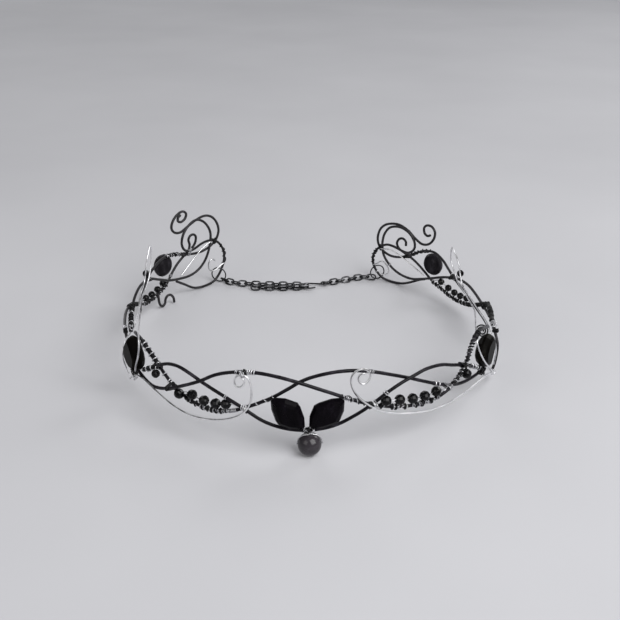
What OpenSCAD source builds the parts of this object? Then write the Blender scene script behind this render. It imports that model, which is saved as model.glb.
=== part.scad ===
// Wire-wrapped diadem with black stones, silver swags and a chain at the back.
// Front is -Y, right is +X, up is +Z. The floor is z = 0 and every size is in millimetres.
// A bearing is the angle round the ring in degrees: 0 in front, 90 at the right, 180 behind.

/* [Ring] */
// Middle of the ring to the wires at the right
half_right = 79.5; // [70:0.5:90]
// Middle of the ring to the wires at the left
half_left = 75.5; // [70:0.5:90]
// Middle of the ring to the wires in front
half_depth = 81.5; // [70:0.5:90]

/* [Wire] */
// Thickness of the black wire
black_wire = 1.2; // [0.8:0.1:2]
// Thickness of the silver wire
silver_wire = 0.6; // [0.4:0.1:1]
// Thickness of the thread that holds the beads
thread_wire = 0.4; // [0.3:0.05:0.6]
// Free space between two wires that cross
wire_gap = 0.1; // [0.05:0.05:0.5]

/* [Stones] */
// Length of a centre stone from tip to tip
centre_length = 15.5; // [10:0.5:20]
// Width of a centre stone
centre_width = 11; // [6:0.5:14]
// Thickness of a centre stone
centre_thick = 4.4; // [3:0.2:6]
// Height of a side stone
side_length = 14.5; // [10:0.5:20]
// Width of a side stone
side_width = 14; // [8:0.5:16]
// Thickness of a side stone
side_thick = 5.4; // [3:0.2:7]
// Diameter of a round back stone
round_size = 10.8; // [7:0.2:14]
// Thickness of a round back stone
round_thick = 5.4; // [3:0.2:6]

/* [Beads] */
// Diameter of the pendant bead
pendant_size = 8.5; // [6:0.5:12]
// Diameter of the hole across the pendant bead
pendant_bore = 1; // [0.8:0.1:2]
// Diameter of a small bead
bead_size = 4; // [3:0.25:5]
// Diameter of a small bead at the back
back_bead_size = 3.4; // [2.5:0.2:5]
// Diameter of the hole through a small bead
bead_bore = 0.9; // [0.7:0.1:1.4]

/* [Chain] */
// Length of one link
link_length = 5.4; // [4:0.25:8]
// Width of one link
link_width = 3.6; // [2.5:0.1:5]
// Thickness of the link's wire
link_wire = 0.8; // [0.6:0.1:1.2]
// Outer diameter of a jump ring
jump_size = 7.8; // [5:0.2:10]
// Thickness of the jump ring's wire
jump_wire = 0.6; // [0.5:0.1:1.2]
// Thickness of the clasp hook's wire
hook_wire = 0.8; // [0.8:0.1:1.6]

/* [Hidden] */

// Layers of the wires, as distances out from the ring's surface: wires that cross lie in
// different layers and so pass each other with the gap.
layer = black_wire + wire_gap;
silver_layer = layer + black_wire / 2 + silver_wire / 2 + wire_gap;

black = [0.07, 0.07, 0.08];
silver = [0.8, 0.8, 0.82];
stone = [0.03, 0.03, 0.04];
gunmetal = [0.2, 0.2, 0.22];

// Routes of the wires. Columns: bearing, height, distance out.
front_lower_rows = [
    [-58.8, 12, -2.1], [-57, 13.5, -1.6], [-54.5, 15.6, -0.9], [-51, 18.3, 0], [-46, 22.5, 0],
    [-42, 25.2, 0], [-38, 26.2, 0], [-34, 25.3, 0], [-29, 23, 0], [-23, 20, 0], [-18, 17, 0],
    [-12, 12.6, 0], [-6, 10.4, 0], [0, 10, 0], [6, 11.3, 0], [11, 14.3, 0], [16, 18.2, 0],
    [20, 21.8, 0], [24, 24.5, 0], [28, 26.2, 0], [32, 27.3, 0], [37, 26.6, 0], [42, 24, 0],
    [48, 20.7, 0], [52, 17.7, -0.3], [55.5, 15, -0.4], [58.5, 12.6, -0.5], [61, 10.4, -0.4]];

right_rail_rows = [
    [-56.2, 14, layer], [-53, 13.2, layer], [-49, 12.7, layer], [-45, 13.9, layer],
    [-41, 16.2, layer], [-36, 19.7, layer], [-30, 24.3, layer], [-25, 28.7, layer],
    [-20, 31.3, layer], [-14, 32.5, layer], [-8, 31.7, layer], [-2, 29.5, layer],
    [4, 26.3, layer], [9, 23.2, layer], [13, 20.7, layer], [17, 18.6, layer], [22, 16.4, layer],
    [27, 15, layer], [32, 14.3, layer], [36.5, 14.6, layer], [40.3, 16, layer], [44, 19, layer],
    [46.8, 22.5, layer], [48.8, 26.3, 0.8], [52.3, 29.6, 0], [58, 29.6, -1], [63.5, 26.8, -1.5],
    [68.5, 24, -1.5]];

left_rail_rows = [
    [67.5, 5, -1], [62, 8, -layer], [56.5, 9.8, -layer], [49, 11.9, -layer], [44, 14, -layer],
    [38, 17.5, -layer], [32, 21.6, -layer], [27, 25, -layer], [22, 27.9, -layer],
    [17, 30.4, -layer], [12, 32, -layer], [7, 32.2, -layer], [2, 31, -layer], [-2, 28.9, -layer],
    [-6, 25.3, -layer], [-10, 21.7, -layer], [-15, 18, -layer], [-20, 14.7, -layer],
    [-25, 12.7, -layer], [-30.5, 12.2, -layer], [-36, 13.3, -layer], [-41, 15.7, -layer],
    [-45, 18.8, -layer], [-49.3, 22.3, -layer], [-53.5, 25.4, -1], [-57.5, 26.3, -1.4],
    [-62, 25.3, -2], [-66, 23.6, -2.6]];

left_top_rows = [
    [-92.6, 14.9, -5], [-93.4, 14.9, -4.9], [-94.2, 14.9, -4.8], [-95, 15, -4.6],
    [-102, 15.5, -2.4], [-108, 17.5, -0.5], [-112, 20.2, 0.1], [-116, 22.4, 0], [-120, 23.9, 0],
    [-124, 24.1, 0], [-128, 22.9, 0], [-132, 21.2, 0], [-136, 19.8, 0], [-140, 19.5, 0],
    [-143.5, 20.7, 0], [-146.3, 23.3, 0], [-147.7, 27.5, 0], [-147.2, 31.8, 0],
    [-145.2, 35.6, 0], [-142, 37.2, 0], [-138, 36.2, 0], [-134, 34.2, 0], [-131, 32.9, 0],
    [-128.3, 33.7, 0], [-126.7, 36.3, 0], [-127.3, 39.3, 0], [-129.5, 41.8, 0],
    [-132.2, 42.7, 0], [-133.9, 41.2, 0], [-133.5, 39, 0], [-131.7, 37.8, 0], [-130.1, 38.6, 0],
    [-130.1, 40.3, 0], [-131.3, 41.2, 0]];

left_diagonal_rows = [
    [-68.5, 11, -3], [-69.5, 12.5, -2.4], [-71, 14, -1.6], [-73.5, 15.6, -0.8],
    [-77.5, 17.2, -0.6], [-83, 17.5, -0.4], [-89, 17, 0], [-94.5, 15.9, 0.5], [-100, 13.5, 1.2],
    [-105, 10.6, layer], [-110, 7.5, layer], [-115, 6.7, layer], [-119.5, 7.5, layer],
    [-123.3, 9.5, layer], [-126, 13, layer], [-129, 16.6, layer], [-132, 19.2, layer],
    [-134.8, 21.4, layer], [-135.6, 24.3, layer], [-135.2, 26.8, layer], [-136, 28.6, layer],
    [-137.4, 28.9, layer], [-138.5, 27.5, layer], [-138.3, 25, layer], [-137.5, 23.3, layer],
    [-136.6, 22.3, layer]];

left_end_loop_rows = [
    [-74.5, 19.8, -2.8], [-79, 17.7, -3], [-84, 15, -2.7], [-88, 13.5, -2.2], [-92, 13.2, -1.3],
    [-96, 14.7, -0.7], [-100, 17.8, -0.6], [-105, 20.2, -1], [-111, 19.6, -layer],
    [-117, 16, -layer], [-123, 12.4, -layer], [-129, 10.4, -layer], [-133.6, 9.9, -layer],
    [-137.3, 11.1, -layer], [-140.2, 14, -layer], [-142.2, 18.2, -layer], [-143.3, 23, -layer],
    [-143.7, 28, -layer], [-142.5, 32.3, -layer], [-140.2, 35.6, -layer], [-137.2, 36.9, -layer],
    [-133.8, 35.1, -layer], [-131.2, 31.7, -layer], [-130.3, 27.5, -layer], [-131.5, 24, -layer],
    [-134.3, 22.4, -1], [-137.3, 22.4, -0.3], [-140.3, 23.2, 0.5], [-143.5, 23.4, layer],
    [-146.3, 22.8, layer], [-148.3, 20.6, layer], [-149.8, 17, layer], [-150.2, 13, layer],
    [-149.6, 9, layer], [-148, 4.6, layer], [-145.6, 1.6, 0.9], [-142.5, 0.75, 0.4],
    [-139, 0.8, 0.2], [-135.5, 2.1, 0.2], [-131.5, 5.7, 0.3], [-127.8, 9, 0.3]];

right_top_rows = [
    [83.4, 13.7, -1.1], [84.8, 12.9, -0.9], [86.5, 12, -0.7], [90, 10.8, -0.3], [96, 10.1, 0],
    [101, 10.5, 0], [105, 11.5, 0], [109, 12.7, 0], [113, 14.3, 0], [117, 16.6, 0],
    [120, 19.2, 0], [123, 22, 0], [127, 23.9, 0], [131, 23.1, 0], [134, 21.3, 0], [137, 18.8, 0],
    [140, 16.6, 0], [143, 15.2, 0], [146, 15.1, 0], [148.8, 16.8, 0], [150.7, 20, 0],
    [151, 24.2, 0], [149.9, 28.5, 0], [147.3, 31.3, 0], [143, 32.2, 0], [139, 30.3, 0],
    [136, 27.5, 0], [133, 25.8, 0], [130, 27, 0], [128, 30.3, 0], [127.6, 33.8, 0], [129, 36, 0],
    [131.2, 36, 0], [132.5, 34.3, 0], [132.2, 31.8, 0], [130.9, 30.8, 0], [129.6, 31.6, 0]];

right_diagonal_rows = [
    [74, 1, 1.7], [75, 4.2, 2.4], [76, 7.8, 2.7], [77, 11.2, 2.5], [78.5, 14.6, 1.3],
    [82, 17, 0], [86.5, 18.7, 0], [91.5, 18.2, 0.4], [96, 15.8, 0.9], [100, 13, layer],
    [105, 9.4, layer], [110, 6.7, layer], [115.4, 5.3, layer], [119.8, 5.5, layer],
    [123.8, 6.8, layer], [127.8, 8.2, layer], [131.2, 11, layer], [134, 13.5, layer],
    [137, 15.8, layer], [139.8, 17.4, layer], [142.8, 19.2, layer], [143.9, 21.8, layer],
    [143.1, 24.3, layer], [141.6, 25, layer], [140.4, 23.8, layer], [140.3, 21.8, layer]];

right_end_loop_rows = [
    [88, 15.5, 0], [89.2, 15.3, 0.1], [90.5, 15.2, 0.1], [92, 15.4, 0], [95, 16, -0.5],
    [101, 17.8, -1.2], [106.5, 18.7, -layer], [112, 18.2, -layer], [117, 16.5, -layer],
    [122, 14, -layer], [127, 11, -layer], [132, 8.3, -layer], [136, 6.7, -layer],
    [140, 6.9, -layer], [143.5, 8.7, -layer], [146.3, 11.8, -layer], [148, 15.2, -layer],
    [148.6, 18.5, -layer], [148.7, 22.4, -layer], [147.9, 26.8, -layer], [145.8, 30.4, -layer],
    [142, 31.6, -layer], [138.4, 30.2, -layer], [136, 27.2, -layer], [135.3, 24, -layer],
    [136.1, 21.4, -layer], [138.1, 19.6, -1.1], [140.5, 19.4, -0.8], [143, 20, -0.4],
    [145.5, 20.4, 0.1], [148, 19.8, 1.2], [150.5, 17.8, layer], [152.3, 14.8, layer],
    [153, 11.5, layer], [152.7, 8, layer], [151.2, 4.3, layer], [149, 1.6, layer],
    [146.4, 0.75, layer], [143, 0.75, layer], [140, 1.7, layer], [136.8, 3.9, 1],
    [133.3, 6.7, 0.7], [130.8, 8.3, 0.2]];

hanging_scroll_rows = [
    [-117.2, 8.2, 0], [-117.4, 5, 0], [-118, 2.2, 0], [-119.4, 0.75, 0], [-120.8, 1.3, 0],
    [-121, 3.3, -0.2], [-121.9, 4.8, -0.6], [-123.2, 4.7, -1.2], [-124, 3, -1.8],
    [-124, 0.8, -2.2]];

left_swag_rows = [
    [-17.6, 30.4, 0], [-16.7, 29.6, 0], [-16.8, 27.8, 0], [-17.9, 26.4, 0], [-19, 27.1, 0],
    [-19.2, 29, 0], [-18.4, 30.8, 0], [-16.9, 31.5, 0], [-15.6, 30.6, 0], [-14.9, 28, 0],
    [-14.7, 24.6, 0], [-15.1, 21, 0], [-16.2, 17.8, 0], [-18.5, 14.8, 0], [-22, 12.3, 0],
    [-27, 10.4, 0], [-33, 9.5, 0], [-38.5, 10.3, 0], [-44, 12, 0], [-50, 13.6, 0],
    [-55, 13.2, 0], [-59, 10.6, 0], [-62, 7, 0]];

right_swag_rows = [
    [13.4, 32.5, 0], [12.4, 32.5, 0], [11.8, 31.2, 0], [12, 29.6, 0], [12.9, 28.5, 0],
    [14, 29.1, 0], [14.7, 31, 0], [14.3, 33.2, 0], [12.9, 34.4, 0], [11.3, 34, 0],
    [10.2, 32.2, 0], [10, 29.6, 0], [10.7, 26.3, 0], [12.3, 22.9, 0], [14.8, 19.6, 0],
    [18, 16.5, 0], [22, 14.3, 0], [27, 12.5, 0], [32.5, 11, 0], [38, 10.5, 0], [44.5, 10.6, 0],
    [51, 10.8, 0], [57.5, 10, 0], [63, 7.4, 0], [69, 2.4, 0]];

left_frame_rows = [
    [-61.5, 6.5, 0.8], [-59.3, 10.5, 1.4], [-57, 15.5, 2.1], [-55.9, 20.5, 1.4],
    [-56, 24.6, 0.6], [-58.5, 27.8, -0.9], [-66, 26.8, -4.5], [-76, 24.5, -6.8], [-88, 21, -6.2],
    [-97, 18.9, -3.9], [-102.5, 19.5, -2.7], [-105.6, 21.7, -2.4], [-107.3, 26, -2.4],
    [-109, 31, -2.4], [-111.6, 35.6, -2.4], [-111.9, 32, -2.4], [-111.2, 27, -2.4],
    [-109, 21.5, -2.5], [-105, 18.2, -2.8], [-99, 17.6, -4], [-93, 17, -5], [-88, 16.1, -5],
    [-82.5, 15.5, -4.3], [-76.5, 16.3, -2.6], [-71, 17.7, 0], [-68.2, 17.6, 1.6],
    [-66.8, 15.5, 2.7], [-66.3, 12.8, 2.9], [-65.3, 10, 2.5], [-63.8, 8, 2]];

right_frame_rows = [
    [70.5, 2.4, 2.1], [66, 6.6, 2.1], [61, 11.7, 2.9], [57.3, 16.2, 2.7], [55.1, 20.8, 1.7],
    [54, 24.8, 0.7], [54.5, 27.2, -0.5], [57.5, 28.2, -2.6], [65, 26.6, -5.7], [76, 23, -7.5],
    [88, 18.8, -6.8], [98, 16, -5], [105.5, 15.8, -3.5], [110.5, 17.3, -3.1], [114, 20.8, -2.6],
    [116.8, 25.5, -2.4], [117, 31.6, -2.4], [114.8, 29.8, -2.4], [112.2, 26, -2.4],
    [110.8, 21.5, -2.4], [108.5, 17.1, -2.4], [103.5, 15.2, -2.4], [97.5, 14.3, -2.6],
    [91.5, 14.6, -2.7], [86, 15.3, -2.3], [80, 16.6, -1.9], [75, 17.6, -1.1], [71.5, 17.4, 0.3],
    [70.2, 16, 1.8], [70.2, 13, 2.4], [71, 8.7, 2.3], [72, 4.9, 2]];

left_brace_rows = [
    [-128.5, 12.5, 0], [-133, 16.4, 0], [-136.5, 19.8, 0], [-139.7, 22.4, 0], [-143, 24.2, 0]];
right_brace_rows = [
    [130, 11.3, 0], [133.5, 13.2, 0], [137.3, 15.2, 0], [141, 17.4, 0], [145, 19, 0],
    [149, 18.6, 0]];
left_curl_rows = [
    [-149.5, 10, 0.3], [-147.6, 8.8, 0.2], [-145.7, 7.6, 0], [-143.9, 7.8, 0], [-143, 9.6, 0],
    [-143.1, 12.3, 0], [-144.4, 14, 0], [-145.8, 12.6, 0]];
right_curl_rows = [
    [152.4, 8.2, 0.3], [151, 9.2, 0.1], [149.5, 10.8, 0], [148, 10.6, 0], [146.4, 8, 0],
    [146.3, 5.6, 0], [147.8, 4.2, 0], [149, 4.1, 0]];

// Places of the beads on their wires, as row numbers of that wire's table
left_front_places = [17.5, 18.2, 18.95, 19.75];
right_front_places = [16.2, 17, 17.8, 18.7];
left_back_places = [10.1, 10.95, 11.8, 12.7];
right_back_places = [11.05, 11.75, 12.5, 13.35, 14.25];

// Outline of a centre stone. Columns: share of half the width, share of half the length.
centre_outline = [
    [-0.12, 1], [-0.54, 0.66], [-0.92, 0.14], [-1, -0.1], [-0.66, -0.62], [-0.16, -1],
    [0.12, -1], [0.54, -0.66], [0.92, -0.14], [1, 0.1], [0.66, 0.62], [0.16, 1]];
// Outline of a side stone, its tip up. Columns as above.
drop_outline = [
    [-0.1, 1], [-0.5, 0.68], [-0.86, 0.28], [-1, -0.12], [-0.88, -0.56], [-0.5, -0.88],
    [0, -1], [0.5, -0.88], [0.88, -0.56], [1, -0.12], [0.86, 0.28], [0.5, 0.68], [0.1, 1]];
// Cut of a stone from its back to its table. Columns: share of the outline, share of the thickness.
cut_rows = [
    [0.62, -0.5], [1, -0.12], [1, 0.08], [0.82, 0.34], [0.5, 0.5]];

// Middle line of the chain on the floor, from the ring's middle. Columns: x, y.
left_chain_way = [[-38, 68.9], [-35.4, 66.7], [-32.3, 65.3], [-29, 64.4], [-21, 63.4],
    [-12, 62.8], [2.4, 62.33]];
right_chain_way = [[36, 71.8], [32.6, 72.2], [29.3, 71.5], [26.2, 70], [23, 68.8],
    [12.5, 64.55]];
tail_way = [[1.5, 59.95], [-4, 59.3], [-12, 59], [-26, 59.8]];
chain_height = 1.5;

// Middle of the ring, set so that the whole piece is centred on its origin
ring_middle = [-2.1, 5.6, 0];

function turn(v) = v / norm(v);

// Point of the ring's surface, a distance out from it
function on_ring(bearing, height, out) = ring_middle + [
    ((sin(bearing) >= 0 ? half_right : half_left) + out) * sin(bearing),
    -(half_depth + out) * cos(bearing), height];
function away(bearing) = [sin(bearing), -cos(bearing), 0];

// Smooth curve through the rows of a table, at a row number with its fraction
function row_at(rows, place) =
    let (last = len(rows) - 1, i = min(floor(place), last - 1), t = place - i,
        a = rows[max(i - 1, 0)], b = rows[i], c = rows[i + 1], d = rows[min(i + 2, last)])
    b + t / 2 * (c - a) + t * t / 2 * (2 * a - 5 * b + 4 * c - d)
      + t * t * t / 2 * (3 * b - 3 * c + d - a);
function point_at(rows, place, out = 0) =
    let (r = row_at(rows, place)) on_ring(r[0], r[1], r[2] + out);
function along_at(rows, place) =
    turn(point_at(rows, place + 0.05) - point_at(rows, place - 0.05));
// Direction across the wire in the ring's surface, upwards where the wire runs level
function across_at(rows, place) =
    let (v = turn(cross(away(row_at(rows, place)[0]), along_at(rows, place))))
    v[2] < 0 ? -v : v;

// Tube through points; outs are the directions that keep its sides from twisting
module tube(points, outs, size, sides, closed = false) {
    n = len(points);
    rings = [for (k = [0:n - 1]) let (
        before = points[closed ? (k + n - 1) % n : max(k - 1, 0)],
        after = points[closed ? (k + 1) % n : min(k + 1, n - 1)],
        run = turn(after - before), u = turn(cross(run, outs[k])), v = cross(run, u))
        [for (j = [0:sides - 1]) let (a = 360 * j / sides)
            points[k] + size / 2 * (cos(a) * u + sin(a) * v)]];
    walls = [for (k = [0:n - (closed ? 1 : 2)], j = [0:sides - 1]) let (
        k2 = (k + 1) % n, j2 = (j + 1) % sides,
        a = k * sides + j, b = k2 * sides + j, c = k2 * sides + j2, d = k * sides + j2)
        each [[a, b, c], [a, c, d]]];
    ends = closed ? [] : [[for (j = [0:sides - 1]) j],
        [for (j = [sides - 1:-1:0]) (n - 1) * sides + j]];
    polyhedron([for (r = rings) each r], concat(walls, ends), convexity = 10);
}

// Wire that follows a table, with a number of steps from row to row
module wire(rows, size, steps, sides, out = 0) {
    places = [for (k = [0:(len(rows) - 1) * steps]) k / steps];
    tube([for (p = places) point_at(rows, p, out)],
        [for (p = places) away(row_at(rows, p)[0])], size, sides);
}
module black_route(rows, steps = 2) { color(black) wire(rows, black_wire, steps, 6); }
module silver_route(rows, out = 0) { color(silver) wire(rows, silver_wire, 2, 5, out); }

// Puts a child on the ring with its own z axis pointing out, turned by a spin
module set_on_ring(bearing, height, out, spin = 0) {
    translate(on_ring(bearing, height, out)) rotate([90, 0, bearing]) rotate([0, 0, spin])
        children();
}

// Cut stone: the outline at each row of the cut, joined by facets
module gem(outline, width, length, thick) {
    n = len(outline);
    m = len(cut_rows);
    points = [for (r = cut_rows, p = outline)
        [p[0] * width / 2 * r[0], p[1] * length / 2 * r[0], r[1] * thick]];
    walls = [for (k = [0:m - 2], j = [0:n - 1]) let (
        j2 = (j + 1) % n, a = k * n + j, b = (k + 1) * n + j, c = (k + 1) * n + j2, d = k * n + j2)
        each [[a, b, c], [a, c, d]]];
    color(stone) polyhedron(points, concat(walls,
        [[for (j = [0:n - 1]) j], [for (j = [n - 1:-1:0]) (m - 1) * n + j]]));
}

// Small bead on its own z axis: a drilled barrel with flats round its middle
module bead(size) {
    r = size / 2;
    color(stone) rotate_extrude($fn = 16)
        polygon([[bead_bore / 2, -0.82 * r], [0.56 * r, -0.82 * r], [0.9 * r, -0.44 * r],
            [r, 0], [0.9 * r, 0.44 * r], [0.56 * r, 0.82 * r], [bead_bore / 2, 0.82 * r]]);
}
module aim(direction) {
    rotate([0, acos(direction[2]), atan2(direction[1], direction[0])]) children();
}

// Middle of a bead that lies against a wire, on one side of it
function bead_middle(rows, place, size, side, out) = point_at(rows, place, out)
    + side * ((black_wire + size) / 2 + 2 * wire_gap) * across_at(rows, place);

module beads_on(rows, places, size, side = 1, out = 0) {
    for (p = places)
        translate(bead_middle(rows, p, size, side, out)) aim(along_at(rows, p)) bead(size);
}

// Thread through the beads, its ends brought down beside the wire
module thread_on(rows, places, size, out = 0) {
    reach = size * 0.41 + 0.1;
    first = places[0];
    last = places[len(places) - 1];
    drop = (black_wire + thread_wire) / 2 + 2 * wire_gap;
    function low(p) = point_at(rows, p) + drop * across_at(rows, p);
    middles = [for (p = places) each
        let (m = bead_middle(rows, p, size, 1, out), t = along_at(rows, p))
        [m - reach * t, m + reach * t]];
    points = concat([low(first - 0.9), low(first - 0.7)], middles,
        [low(last + 0.7), low(last + 0.9)]);
    bearings = concat([first - 0.9, first - 0.7], [for (p = places) each [p, p]],
        [last + 0.7, last + 0.9]);
    color(gunmetal) tube(points, [for (b = bearings) away(row_at(rows, b)[0])],
        thread_wire, 5);
}

// One oval link on its own x axis, rolled about it
link_pitch = link_length - 2 * link_wire - 0.4;
module oval_link(roll) {
    r = (link_width - link_wire) / 2;
    half = link_length / 2 - link_wire / 2 - r;
    turnings = [-90, -54, -18, 18, 54, 90];
    middle = [for (side = [1, -1], a = turnings)
        [side * (half + r * cos(a)), side * r * sin(a), 0]];
    rotate([roll, 0, 0])
        color(gunmetal) tube(middle, [for (p = middle) [0, 0, 1]], link_wire, 5, true);
}

// Links at equal steps along a way of x, y rows, turned a quarter from each to the next
function way_at(way, place) = let (i = min(floor(place), len(way) - 2))
    way[i] + (place - i) * (way[i + 1] - way[i]);
function way_length(way) =
    let (parts = [for (i = [0:len(way) - 2]) norm(way[i + 1] - way[i])])
    parts * [for (p = parts) 1];
function way_step(way, run, i = 0) =
    let (part = norm(way[i + 1] - way[i]))
    run <= part || i == len(way) - 2 ? i + run / part : way_step(way, run - part, i + 1);
module chain_on(way, count, first_roll = 45) {
    for (k = [0:count - 1]) {
        p = way_at(way, way_step(way, k * link_pitch));
        before = way_at(way, way_step(way, max(k - 0.5, 0) * link_pitch));
        run = way_at(way, way_step(way, (k + 0.5) * link_pitch)) - before;
        translate(ring_middle + [p[0], p[1], chain_height])
            rotate([0, 0, atan2(run[1], run[0])]) oval_link(k % 2 == 0 ? first_roll : -first_roll);
    }
}

module jump_ring() {
    color(gunmetal) rotate_extrude($fn = 48)
        translate([(jump_size - jump_wire) / 2, 0]) circle(d = jump_wire, $fn = 16);
}

// Wires
module front_lower_wire() black_route(front_lower_rows);
module left_rail_wire() black_route(left_rail_rows);
module right_rail_wire() black_route(right_rail_rows);
module left_top_wire() black_route(left_top_rows);
module left_diagonal_wire() black_route(left_diagonal_rows);
module left_end_loop_wire() black_route(left_end_loop_rows);
module right_top_wire() black_route(right_top_rows);
module right_diagonal_wire() black_route(right_diagonal_rows);
module right_end_loop_wire() black_route(right_end_loop_rows);
module left_hanging_scroll() black_route(hanging_scroll_rows);

module left_silver_swag() silver_route(left_swag_rows, silver_layer);
module right_silver_swag() silver_route(right_swag_rows, silver_layer);
module left_silver_frame() silver_route(left_frame_rows);
module right_silver_frame() silver_route(right_frame_rows);
module left_silver_brace() silver_route(left_brace_rows, -silver_layer);
module right_silver_brace() silver_route(right_brace_rows, -silver_layer);
module left_silver_curl() silver_route(left_curl_rows);
module right_silver_curl() silver_route(right_curl_rows);

// Stones
module centre_stone() gem(centre_outline, centre_width, centre_length, centre_thick);
module side_stone() gem(drop_outline, side_width, side_length, side_thick);
module left_centre_stone() set_on_ring(-5.5, 17, 0.8, 45) centre_stone();
module right_centre_stone() set_on_ring(4.4, 17, 0.7, -45) centre_stone();
module left_side_stone() set_on_ring(-61.3, 18.3, 0.2) side_stone();
module right_side_stone() set_on_ring(61.3, 18, 0.3, 192) side_stone();
module round_stone() gem([for (k = [0:13]) [cos(360 / 14 * k), sin(360 / 14 * k)]],
    round_size, round_size, round_thick);
module left_round_stone() set_on_ring(-123.2, 19.1, 2.5) round_stone();
module right_round_stone() set_on_ring(129, 16.4, 2.5) round_stone();

// Pendant
pendant_middle = ring_middle + [0.3, -half_depth, pendant_size / 2];
module pendant_bead() {
    color(stone) translate(pendant_middle) difference() {
        sphere(d = pendant_size, $fn = 48);
        rotate([0, 90, 0]) cylinder(d = pendant_bore, h = pendant_size + 2, center = true, $fn = 24);
    }
}
module pendant_wire() {
    half = pendant_size / 2 + thread_wire;
    turns = [[-1.4, -1, 6.4], [-3, -1, 5.8], [-half, -0.4, 3.2], [-half, 0, 0.6],
        [-half + 0.6, 0, 0], [half - 0.6, 0, 0], [half, 0, 0.6], [half, -0.4, 3.2],
        [3, -1, 5.8], [1.4, -1, 6.4]];
    points = [for (p = turns) pendant_middle + p];
    color(silver) tube(points, [for (p = points) [0, -1, 0]], thread_wire, 5);
}

// Beads and their threads
module left_front_beads() {
    beads_on(left_rail_rows, left_front_places, bead_size);
    beads_on(left_rail_rows, [20.35], bead_size, 0.6, 2.3);
    beads_on(front_lower_rows, [3.8], back_bead_size, -1, 1.8);
}
module right_front_beads() {
    beads_on(right_rail_rows, right_front_places, bead_size);
    beads_on(right_rail_rows, [15.3], bead_size, 1, 1.5);
    beads_on(front_lower_rows, [22.85], bead_size, -1, 2.2);
}
module left_back_beads() {
    beads_on(left_diagonal_rows, left_back_places, back_bead_size);
    beads_on(left_top_rows, [5.9], back_bead_size);
}
module right_back_beads() {
    beads_on(right_diagonal_rows, right_back_places, back_bead_size, 1, 0.8);
    beads_on(right_end_loop_rows, [7.2], back_bead_size, 1, 1.3);
}
module left_front_thread() thread_on(left_rail_rows, left_front_places, bead_size);
module right_front_thread() thread_on(right_rail_rows, right_front_places, bead_size);
module left_back_thread() thread_on(left_diagonal_rows, left_back_places, back_bead_size);
module right_back_thread()
    thread_on(right_diagonal_rows, right_back_places, back_bead_size, 0.8);

// Chain
module ring_on(rows, place, turn_by) {
    translate(point_at(rows, place)) rotate([90, 0, turn_by]) jump_ring();
}
module left_jump_ring() ring_on(left_end_loop_rows, 34.15, -15);
module right_jump_ring() ring_on(right_end_loop_rows, 35.07, 15);
module left_chain() {
    chain_on(left_chain_way, 13, -45);
    chain_on(tail_way, 8, 45);
}
module right_chain() chain_on(right_chain_way, 8, -45);

// Hook: an open bend that holds both runs of the left chain, a shank and a closed eye
hook_bend = [4.15, 61.3];
hook_eye = [11.85, 64.3];
module clasp_hook() {
    bend_r = 3;
    eye_r = 1.6;
    lean = 21;
    points = concat([hook_bend + bend_r * [cos(lean - 90), sin(lean - 90)]
            + 2 * [cos(lean), sin(lean)]],
        [for (a = [lean + 270:-30:lean + 90]) hook_bend + bend_r * [cos(a), sin(a)]],
        [for (a = [lean + 195:30:lean + 525]) hook_eye + eye_r * [cos(a), sin(a)]]);
    color(gunmetal) tube([for (p = points) ring_middle + [p[0], p[1], chain_height]],
        [for (p = points) [0, 0, 1]], hook_wire, 6);
}

front_lower_wire();
left_rail_wire();
right_rail_wire();
left_top_wire();
left_diagonal_wire();
left_end_loop_wire();
right_top_wire();
right_diagonal_wire();
right_end_loop_wire();
left_hanging_scroll();
left_silver_swag();
right_silver_swag();
left_silver_frame();
right_silver_frame();
left_silver_brace();
right_silver_brace();
left_silver_curl();
right_silver_curl();
left_centre_stone();
right_centre_stone();
left_side_stone();
right_side_stone();
left_round_stone();
right_round_stone();
pendant_bead();
pendant_wire();
left_front_beads();
right_front_beads();
left_back_beads();
right_back_beads();
left_front_thread();
right_front_thread();
left_back_thread();
right_back_thread();
left_jump_ring();
right_jump_ring();
left_chain();
right_chain();
clasp_hook();
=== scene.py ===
"""Dresses the wire-wrapped diadem: enamelled and silver wire, stones, beads, bindings and chain.

Sizes and tables are in millimetres, as the part's source has them, and become metres in a mesh.
"""

import logging
import math
from dataclasses import dataclass
from enum import Enum
from typing import ClassVar

import bpy
import numpy as np
from mathutils import Matrix, Vector


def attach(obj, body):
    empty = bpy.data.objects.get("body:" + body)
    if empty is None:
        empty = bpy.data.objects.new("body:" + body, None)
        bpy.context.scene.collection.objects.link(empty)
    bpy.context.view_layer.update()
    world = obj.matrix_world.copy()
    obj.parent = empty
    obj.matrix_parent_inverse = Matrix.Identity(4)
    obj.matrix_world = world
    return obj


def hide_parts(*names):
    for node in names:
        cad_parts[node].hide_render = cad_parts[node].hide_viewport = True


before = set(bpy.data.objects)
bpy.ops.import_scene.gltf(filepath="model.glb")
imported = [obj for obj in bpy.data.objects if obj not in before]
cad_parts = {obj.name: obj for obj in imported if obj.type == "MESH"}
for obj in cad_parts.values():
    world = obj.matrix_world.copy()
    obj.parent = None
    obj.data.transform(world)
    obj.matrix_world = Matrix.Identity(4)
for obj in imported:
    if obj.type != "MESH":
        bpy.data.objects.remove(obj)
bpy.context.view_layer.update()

log = logging.getLogger("diadem")
Array = np.ndarray

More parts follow.
